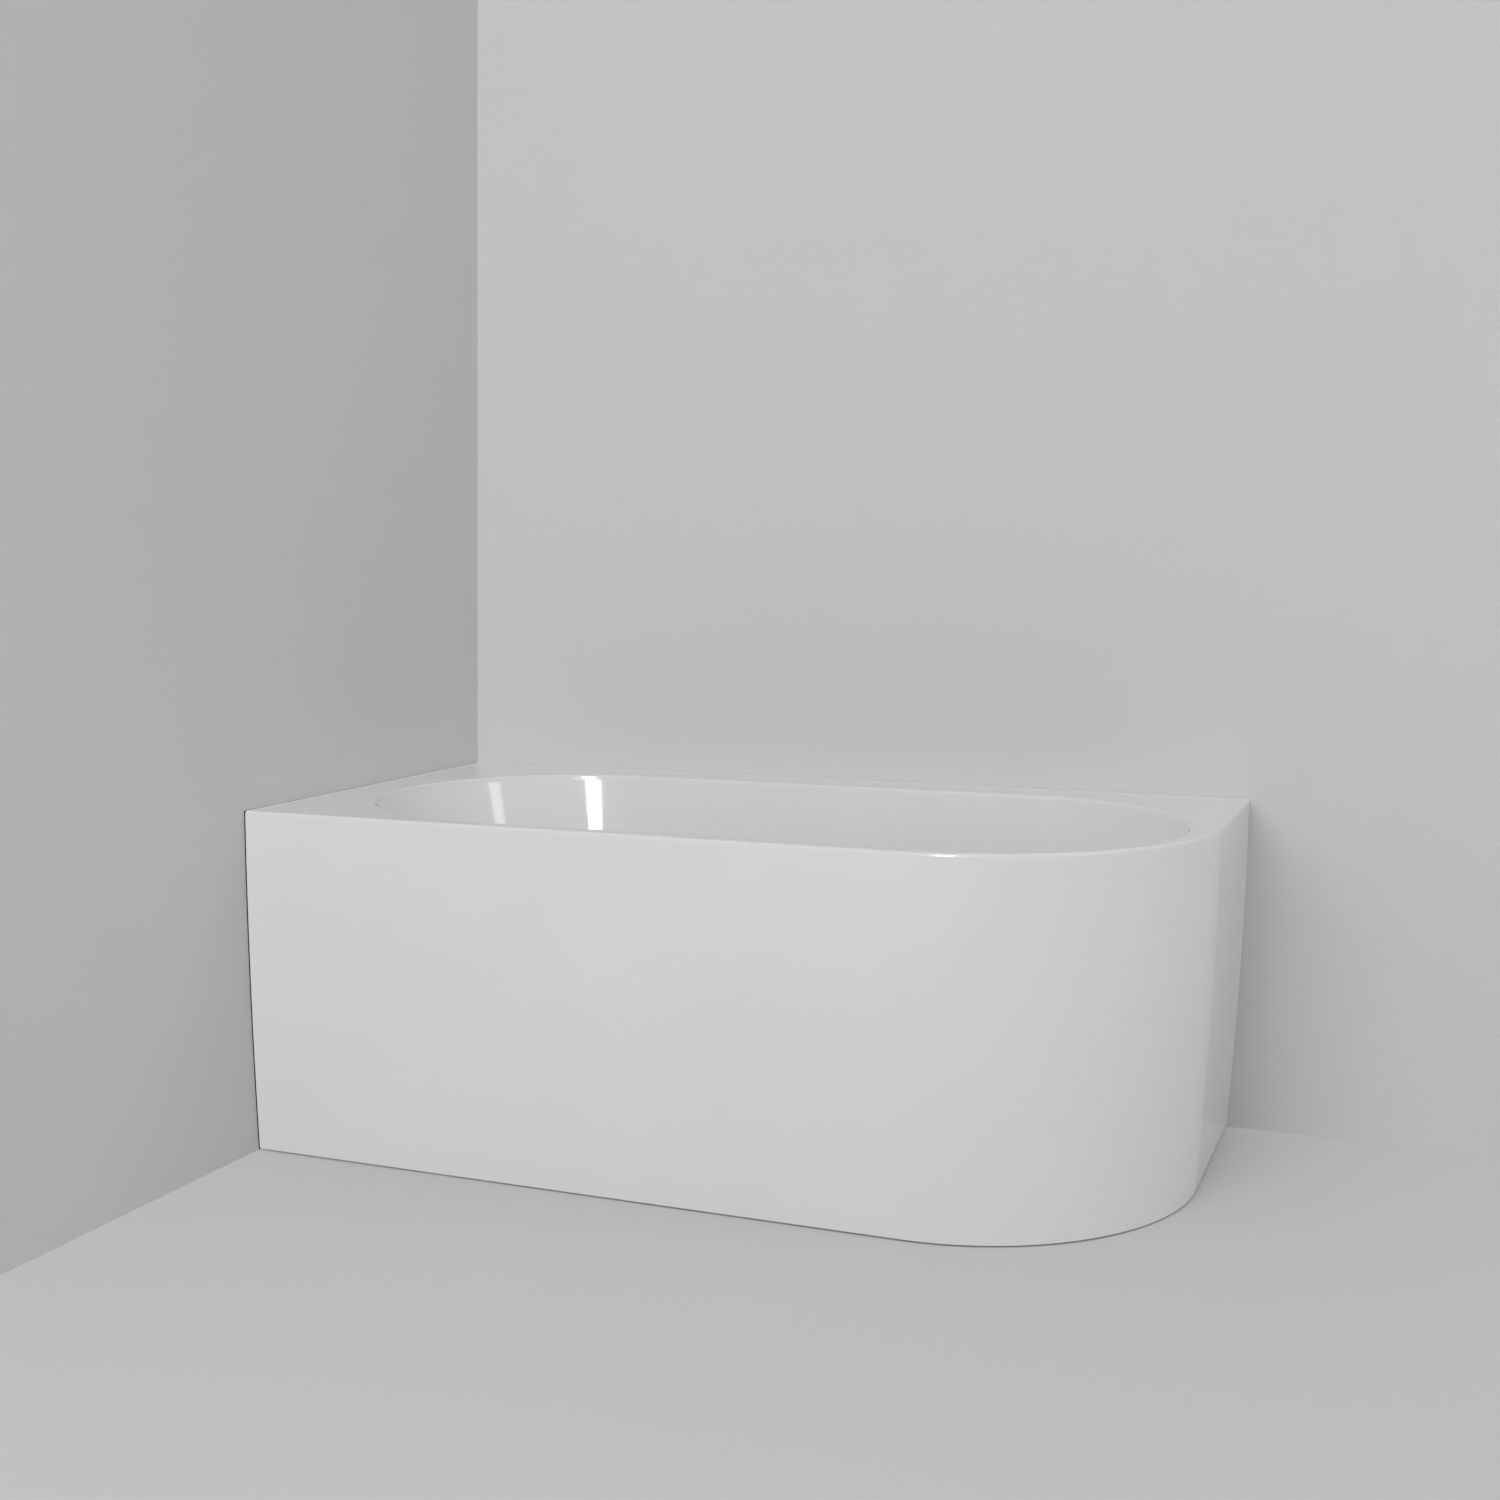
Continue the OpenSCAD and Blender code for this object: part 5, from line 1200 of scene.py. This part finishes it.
def bar(corners, depth, frame_at, material, round_off=0.0):
    """A bar with the given outline in XY, from z = 0 to its depth, with rounded edges."""
    bm = bmesh.new()
    low = [bm.verts.new((x, y, 0)) for x, y in corners]
    high = [bm.verts.new((x, y, depth)) for x, y in corners]
    bm.faces.new(low[::-1])
    bm.faces.new(high)
    for i in range(len(corners)):
        j = (i + 1) % len(corners)
        bm.faces.new((low[i], low[j], high[j], high[i]))
    if round_off:
        bmesh.ops.bevel(bm, geom=bm.edges[:], offset=round_off, segments=3, affect="EDGES",
                        profile=0.5)
    bmesh.ops.recalc_face_normals(bm, faces=bm.faces)
    bm.transform(frame_at)
    mesh = bpy.data.meshes.new("bar")
    bm.to_mesh(mesh)
    bm.free()
    return linked("bar", mesh, material)


def stands_for(piece, node):
    """Fixes a piece to the body of the CAD node that it replaces."""
    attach(piece, frame["nodes"][node]["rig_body"])
    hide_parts(node)
    return piece


def ridged(low, high, outer, pitch, deep):
    """Points of a thread's outline from one height to another."""
    count = int((high - low) / pitch)
    return [(outer - (deep if i % 2 else 0.0), low + (high - low) * i / (2 * count))
            for i in range(2 * count + 1)]


seat = softened([(TAIL_R, FLANGE_TOP), (SEAL_R, FLANGE_TOP), (FLANGE_R, FLANGE_TOP - 0.0015),
                 (FLANGE_R, FLANGE_LOW), (TAIL_R + GAP, FLANGE_LOW)], 0.0007)[:-5]
thread = ridged(TAIL_LOW, FLANGE_LOW - 0.002, TAIL_R, pitch=0.0015, deep=0.0008)
outline = seat + [(TAIL_R, FLANGE_LOW)] + thread[::-1] + [
    (THROAT_R, TAIL_LOW), (THROAT_R, FLANGE_TOP - 0.005)]
flange = turned("chromed_waste_flange", outline, AT_DRAIN, chrome)
bore = STEM_R + 0.00006
hub = turned("hub", softened([(bore, HUB_LOW), (HUB_R, HUB_LOW), (HUB_R, HUB_TOP),
                              (bore, HUB_TOP)], 0.0005), AT_DRAIN, chrome, sides=40)
start, end, HALF_SPOKE, SPOKE_DEPTH = HUB_R - 0.0005, THROAT_R + 0.0005, 0.0015, 0.007
spoke = bar([(start, -HALF_SPOKE), (end, -HALF_SPOKE), (end, HALF_SPOKE), (start, HALF_SPOKE)],
            SPOKE_DEPTH, Matrix.Translation((0, 0, HUB_LOW)), chrome, round_off=0.0006)
spoke_mesh = spoke.data
bpy.data.objects.remove(spoke)
spoke_mesh.materials.clear()
spokes = grown("spokes", spoke_mesh, fins, {"Copies": 4, "Material": chrome})
spokes.data.transform(AT_DRAIN)
stands_for(joined(flange, hub, spokes), "waste_flange")

outline = [(TAIL_R + GAP, FLANGE_LOW - 0.001), (SEAL_R, FLANGE_LOW - 0.001),
           (SEAL_R, FLANGE_LOW), (TAIL_R + GAP, FLANGE_LOW)]
stands_for(turned("flat_flange_seal", softened(outline, 0.0002), AT_DRAIN, rubber),
           "flange_seal")

# The plug: a spun dome with a turned stem, and an O-ring in the groove of its skirt
PLUG_R, PLUG_EDGE, SKIRT_R, RING_R = 0.031, 0.003, THROAT_R - 0.0006, 0.0015
low, groove, stem_end = FLANGE_TOP + GAP, FLANGE_TOP - 0.0033, FLANGE_LOW - 0.026
crown = PLUG_R - PLUG_EDGE
dome = [(crown * i / 12, low + 0.0045 - 0.0015 * (i / 12) ** 2) for i in range(13)]
dome += [(crown + PLUG_EDGE * math.sin(a), low + 0.0015 + 0.0015 * math.cos(a))
         for a in quarter(8)[1:]]
outline = dome + softened([(PLUG_R, low), (SKIRT_R - 0.001, low), (SKIRT_R - 0.001, groove),
                           (SKIRT_R, groove), (SKIRT_R, groove - 0.0025),
                           (STEM_R, groove - 0.0025), (STEM_R, stem_end)], 0.0004)
outline += [(0.0, stem_end)]
stands_for(turned("chromed_plug", outline, AT_DRAIN, chrome), "drain_plug")
ring = [(THROAT_R + RING_R * math.cos(a), FLANGE_TOP - 0.0017 + RING_R * math.sin(a))
        for a in (2 * math.pi * i / 20 for i in range(20))]
stands_for(turned("plug_o_ring", ring, AT_DRAIN, rubber), "plug_seal")

# The body, the nut and the trap are moulded; the seal under the body is a soft flat ring
for name, node, edge in (("moulded_waste_body", "waste_body", 0.0006),
                         ("ribbed_trap_nut", "trap_nut", 0.0005),
                         ("moulded_trap_cup", "trap_cup", 0.0010),
                         ("ribbed_outlet_nut", "outlet_nut", 0.0005),
                         ("plain_outlet_pipe", "outlet_pipe", 0.0005)):
    dressed(name, node, waste_white, bevel=edge)
dressed("soft_waste_seal", "waste_body_seal", rubber, bevel=0.0003)

# Overflow
# A turning overflow set: a plastic drum behind the foot end of the well, clamped through the
# acrylic by a chromed ring with two screws, and a chromed knob that works the plug's cable.
dressed("moulded_overflow_drum", "overflow_body", waste_white, bevel=0.0006)
dressed("soft_overflow_seal", "overflow_seal", rubber, bevel=0.0003)
dressed("soft_ring_seal", "ring_seal", rubber, bevel=0.0002)
dressed("chromed_clamping_ring", "overflow_ring", chrome, bevel=0.0004)

sizes = {"Head radius": 0.0038, "Head height": 0.0015, "Shank radius": 0.0015,
         "Thread radius": 0.0019, "Thread pitch": 0.0012, "Length": 0.0298}
RING_SCREW_Y, RING_TOP = 0.017, 0.0035
places = [AT_OVERFLOW @ Vector((0, y, RING_TOP)) for y in (-RING_SCREW_Y, RING_SCREW_Y)]
piece = grown("cross_head_ring_screws", spots("places", places, (0, TILT, 0)), screw, sizes)
stands_for(piece, "overflow_screws")

# The knob: a spun cap with slots at its foot, where the water goes in, and a grip bar
FACE, KNOB_R, KNOB_EDGE, SEAT, SPINDLE_R, SPINDLE_END = 0.017, 0.035, 0.004, 0.006, 0.005, -0.0353
rim = [(KNOB_R - KNOB_EDGE + KNOB_EDGE * math.sin(a), FACE - KNOB_EDGE + KNOB_EDGE * math.cos(a))
       for a in quarter(10)]
outline = [(0.0, FACE)] + rim + softened([(KNOB_R, SEAT), (KNOB_R - 0.0025, SEAT),
                                          (KNOB_R - 0.0025, FACE - 0.003)], 0.0007)
outline += [(SPINDLE_R, FACE - 0.003), (SPINDLE_R, SPINDLE_END), (0.0, SPINDLE_END)]
knob = turned("chromed_knob", outline, AT_OVERFLOW, chrome, sides=128)
start, end, HALF_SLOT, SLOT_DEPTH = KNOB_R - 0.005, KNOB_R + 0.001, 0.002, 0.004
slots = []
for bearing in (150, 165, 180, 195, 210):
    turn = Matrix.Rotation(math.radians(bearing), 4, "Z")
    slots.append(bar([(start, -HALF_SLOT), (end, -HALF_SLOT), (end, HALF_SLOT), (start, HALF_SLOT)],
                     SLOT_DEPTH, AT_OVERFLOW @ turn @ Matrix.Translation((0, 0, SEAT - 0.001)),
                     chrome))
cut(knob, *slots)

# The grip bar grows narrower and shorter towards its top, which has a small chamfer
STEPS = 8
bm = bmesh.new()
levels = []
for i in range(STEPS + 1):
    u = i / STEPS
    r, w = KNOB_R - 0.006 - 0.003 * u, 0.005 - 0.002 * u
    if i == STEPS:
        r, w = r - 0.0012, w - 0.0012
    half = [Vector((math.sqrt(r * r - y * y), y, FACE - 0.001 + 0.009 * u))
            for y in (w * j / 4 for j in range(-4, 5))]
    levels.append(half + [Vector((-p.x, -p.y, p.z)) for p in half])
levels.insert(STEPS, [Vector((p.x + (q.x - p.x) * 0.3, p.y + (q.y - p.y) * 0.3, p.z - 0.0004))
                      for p, q in zip(levels[-2], levels[-1])])
grid = laid(bm, levels, closed=True)
bm.faces.new(grid[-1])
bm.faces.new(grid[0][::-1])
bmesh.ops.recalc_face_normals(bm, faces=bm.faces)
bm.transform(AT_OVERFLOW)
mesh = bpy.data.meshes.new("grip")
bm.to_mesh(mesh)
bm.free()
grip = linked("grip", mesh, chrome)
edge = grip.modifiers.new("soft_edges", "BEVEL")
edge.width = 0.0006
edge.segments = 3
edge.limit_method = "ANGLE"
edge.angle_limit = math.radians(40)
settled(grip)
stands_for(joined(knob, grip), "overflow_knob")

# Overflow hose
# A ribbed polypropylene hose leads the overflow's water down behind the foot end of the well to
# the waste body. It is slipped on a spout at each end and held by a union nut.
NUT_R, GROOVE_R, RIB = 0.018, 0.013, 0.0015
SPOUT, SPOUT_Z = 0.048, -LAY_OUT - NUT_R - 0.0012
INLET = Vector((0.462, WELL_Y, 0.126))
HOSE_CLEAR = SOLE_R + LAY_OUT + GROOVE_R + RIB + 0.006
BENDS = [math.radians(a) for a in (0, 35, 66)]


def round_sole(angle, y):
    """A point beside the foot of the well, outside the curve between its wall and floor."""
    depth = SOLE[1] + HOSE_CLEAR * math.sin(angle)
    return Vector((WELL_RIGHT + WELL_R - SOLE[0] - FOOT_LEAN * (depth - EDGE)
                   + HOSE_CLEAR * math.cos(angle), WELL_Y + y, HEIGHT - depth))


def route_at(points, u):
    """A point on the smooth route through the given points."""
    last = len(points) - 1
    k = min(int(u * last), last - 1)
    t = u * last - k
    a, b, c, d = points[max(k - 1, 0)], points[k], points[k + 1], points[min(k + 2, last)]
    return 0.5 * (2 * b + (c - a) * t + (2 * a - 5 * b + 4 * c - d) * t * t
                  + (3 * b - a - 3 * c + d) * t * t * t)


def route_mesh(points, steps=160):
    """The route as a line of vertices for a tree to follow, and its length."""
    path = [route_at(points, i / steps) for i in range(steps + 1)]
    mesh = bpy.data.meshes.new("route")
    mesh.from_pydata(path, [(i, i + 1) for i in range(steps)], [])
    return mesh, path, sum((b - a).length for a, b in zip(path, path[1:]))


# Grey polypropylene, extruded and corrugated while soft: satin, with painted shade in the grooves
hose_grey, tree, shader = finish("corrugated_grey_polypropylene")
place = add(tree, "ShaderNodeTexCoord").outputs["Object"]
flow = add(tree, "ShaderNodeTexNoise", {"Vector": place, "Scale": 60.0, "Detail": 3.0})
dust = add(tree, "ShaderNodeMix", {"Factor": flow.outputs[0], "A": colour("#C2C3C3"),
                                   "B": colour("#B2B3B4")}, data_type="RGBA")
# Painted shade: where the surface curves inwards, in the grooves between the ribs, the grey is
# drawn darker
groove_shade = add(tree, "ShaderNodeNewGeometry").outputs["Pointiness"]
groove_shade = add(tree, "ShaderNodeMapRange", {"Value": groove_shade, "From Min": 0.44, "From Max": 0.52})
tint = add(tree, "ShaderNodeMix", {"Factor": groove_shade.outputs[0], "A": colour("#8E8F90"),
                                   "B": dust.outputs["Result"]}, data_type="RGBA")
tree.links.new(tint.outputs["Result"], shader.inputs["Base Color"])
shader.inputs["Roughness"].default_value = 0.42
grain = add(tree, "ShaderNodeTexNoise", {"Vector": place, "Scale": 1100.0, "Detail": 1.0})
bump = add(tree, "ShaderNodeBump", {"Height": grain.outputs[0], "Strength": 0.2,
                                    "Distance": 0.00008})
tree.links.new(bump.outputs[0], shader.inputs["Normal"])

sizes = {"Ribs": 64, "Groove radius": GROOVE_R, "Rib height": RIB, "Bore radius": 0.011,
         "Sides": 28, "Material": hose_grey}
made, size = sized_tree("ribbed_hose", sizes)
way = add(made, "GeometryNodeMeshToCurve", {0: size["Geometry"]}).outputs[0]
count = add(made, M, {0: size["Ribs"], 1: 6.0, 2: 1.0}, operation="MULTIPLY_ADD").outputs[0]
way = add(made, "GeometryNodeResampleCurve", {"Curve": way, "Count": count},
          mode="COUNT").outputs[0]
along = add(made, "GeometryNodeSplineParameter").outputs["Factor"]
wave = add(made, M, {0: along, 1: size["Ribs"]}, operation="MULTIPLY").outputs[0]
wave = add(made, M, {0: wave, 1: 2 * math.pi}, operation="MULTIPLY").outputs[0]
wave = add(made, M, {0: wave}, operation="COSINE").outputs[0]
wave = add(made, "ShaderNodeMapRange", {"Value": wave, "From Min": 1.0,
                                        "From Max": -1.0}).outputs[0]
radius = add(made, M, {0: wave, 1: size["Rib height"], 2: size["Groove radius"]},
             operation="MULTIPLY_ADD").outputs[0]
ring = add(made, "GeometryNodeCurvePrimitiveCircle", {"Resolution": size["Sides"],
                                                      "Radius": 1.0}).outputs[0]
skins = add(made, "GeometryNodeJoinGeometry")
for girth in (size["Bore radius"], radius):
    tube = add(made, "GeometryNodeCurveToMesh", {"Curve": way, "Profile Curve": ring,
                                                 "Scale": girth})
    made.links.new(tube.outputs[0], skins.inputs[0])
ended(made, skins.outputs[0], size["Material"])


def ends_closed(piece, start):
    """Closes a tube's two ends between its outer and inner skins, given its starting point."""
    bm = bmesh.new()
    bm.from_mesh(piece.data)
    loose = [e for e in bm.edges if e.is_boundary]
    first = [e for e in loose if (e.verts[0].co - start).length < 0.02]
    last = [e for e in loose if e not in first]
    bmesh.ops.bridge_loops(bm, edges=first)
    bmesh.ops.bridge_loops(bm, edges=last)
    bmesh.ops.recalc_face_normals(bm, faces=bm.faces)
    bm.to_mesh(piece.data)
    bm.free()
    smoothed(piece.data, 60)
    return piece


hose_points = [AT_OVERFLOW @ Vector((-SPOUT - run, 0, SPOUT_Z)) for run in (0.003, 0.070)]
hose_points += [round_sole(a, 0) for a in BENDS]
hose_points += [INLET + Vector((0.050, 0, 0.005)), INLET + Vector((0.003, 0, 0))]
base, path, length = route_mesh(hose_points)
hose = grown("ribbed_overflow_hose", base, made, sizes, angle=60)
ends_closed(hose, path[0])
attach(hose, "bath")
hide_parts("overflow_hose")
dressed("ribbed_hose_nuts", "hose_nuts", waste_white, bevel=0.0004)

# Cable
# A Bowden cable beside the hose: a steel strand in a black PVC sheath pulls the plug's lever
# when the knob turns. Its ends sit in sockets on the drum and on the waste body.

# Black PVC sheath over a wound steel coil, which shows as fine rings 1.2 mm apart
sheath, tree, shader = finish("black_pvc_cable_sheath")
place = add(tree, "ShaderNodeTexCoord").outputs["Object"]
cloud = add(tree, "ShaderNodeTexNoise", {"Vector": place, "Scale": 80.0, "Detail": 3.0})
tint = add(tree, "ShaderNodeMix", {"Factor": cloud.outputs[0], "A": colour("#18181A"),
                                   "B": colour("#252526")}, data_type="RGBA")
tree.links.new(tint.outputs["Result"], shader.inputs["Base Color"])
shader.inputs["Roughness"].default_value = 0.36
turns = add(tree, "ShaderNodeAttribute", attribute_name="turns")
turns = add(tree, M, {0: turns.outputs["Fac"]}, operation="SINE")
bump = add(tree, "ShaderNodeBump", {"Height": turns.outputs[0], "Strength": 0.5,
                                    "Distance": 0.0002})
tree.links.new(bump.outputs[0], shader.inputs["Normal"])

SOCKET, SOCKET_Y, CABLE_Y, CABLE_R = 0.0303, 0.027, 0.030, 0.003
cable_points = [AT_OVERFLOW @ Vector((-SOCKET, SOCKET_Y, SPOUT_Z)),
                AT_OVERFLOW @ Vector((-SPOUT - 0.060, CABLE_Y, SPOUT_Z))]
cable_points += [round_sole(a, CABLE_Y) for a in BENDS]
cable_points += [INLET + Vector((0.010, CABLE_Y, 0.003)),
                 Vector((DRAIN.x + SOCKET, WELL_Y + SOCKET_Y, INLET.z))]
sizes = {"Radius": CABLE_R, "Ring spacing": 0.0012, "Sides": 16, "Material": sheath}
made, size = sized_tree("cable_sheath", sizes)
way = add(made, "GeometryNodeMeshToCurve", {0: size["Geometry"]}).outputs[0]
way = add(made, "GeometryNodeResampleCurve", {"Curve": way, "Length": 0.002},
          mode="LENGTH").outputs[0]
far = add(made, "GeometryNodeSplineParameter").outputs["Length"]
phase = add(made, M, {0: far, 1: size["Ring spacing"]}, operation="DIVIDE").outputs[0]
phase = add(made, M, {0: phase, 1: 2 * math.pi}, operation="MULTIPLY").outputs[0]
way = add(made, "GeometryNodeStoreNamedAttribute", {"Geometry": way, "Name": "turns",
                                                    "Value": phase},
          data_type="FLOAT", domain="POINT").outputs[0]
ring = add(made, "GeometryNodeCurvePrimitiveCircle", {"Resolution": size["Sides"],
                                                      "Radius": size["Radius"]}).outputs[0]
tube = add(made, "GeometryNodeCurveToMesh", {"Curve": way, "Profile Curve": ring,
                                             "Fill Caps": True}).outputs[0]
ended(made, tube, size["Material"])
base, path, length = route_mesh(cable_points)
cable = grown("sheathed_bowden_cable", base, made, sizes, angle=60)
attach(cable, "bath")
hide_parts("bowden_cable")

# Wall anchors
# Three hooks folded from 3 mm zinc-plated strip, screwed to the walls before the bath goes in;
# the turned-down lip of the shell drops over them and cannot tip forward.
for node in ("left_wall_anchor", "back_wall_anchor_1", "back_wall_anchor_2"):
    dressed("folded_" + node, node, zinc, bevel=0.0006)
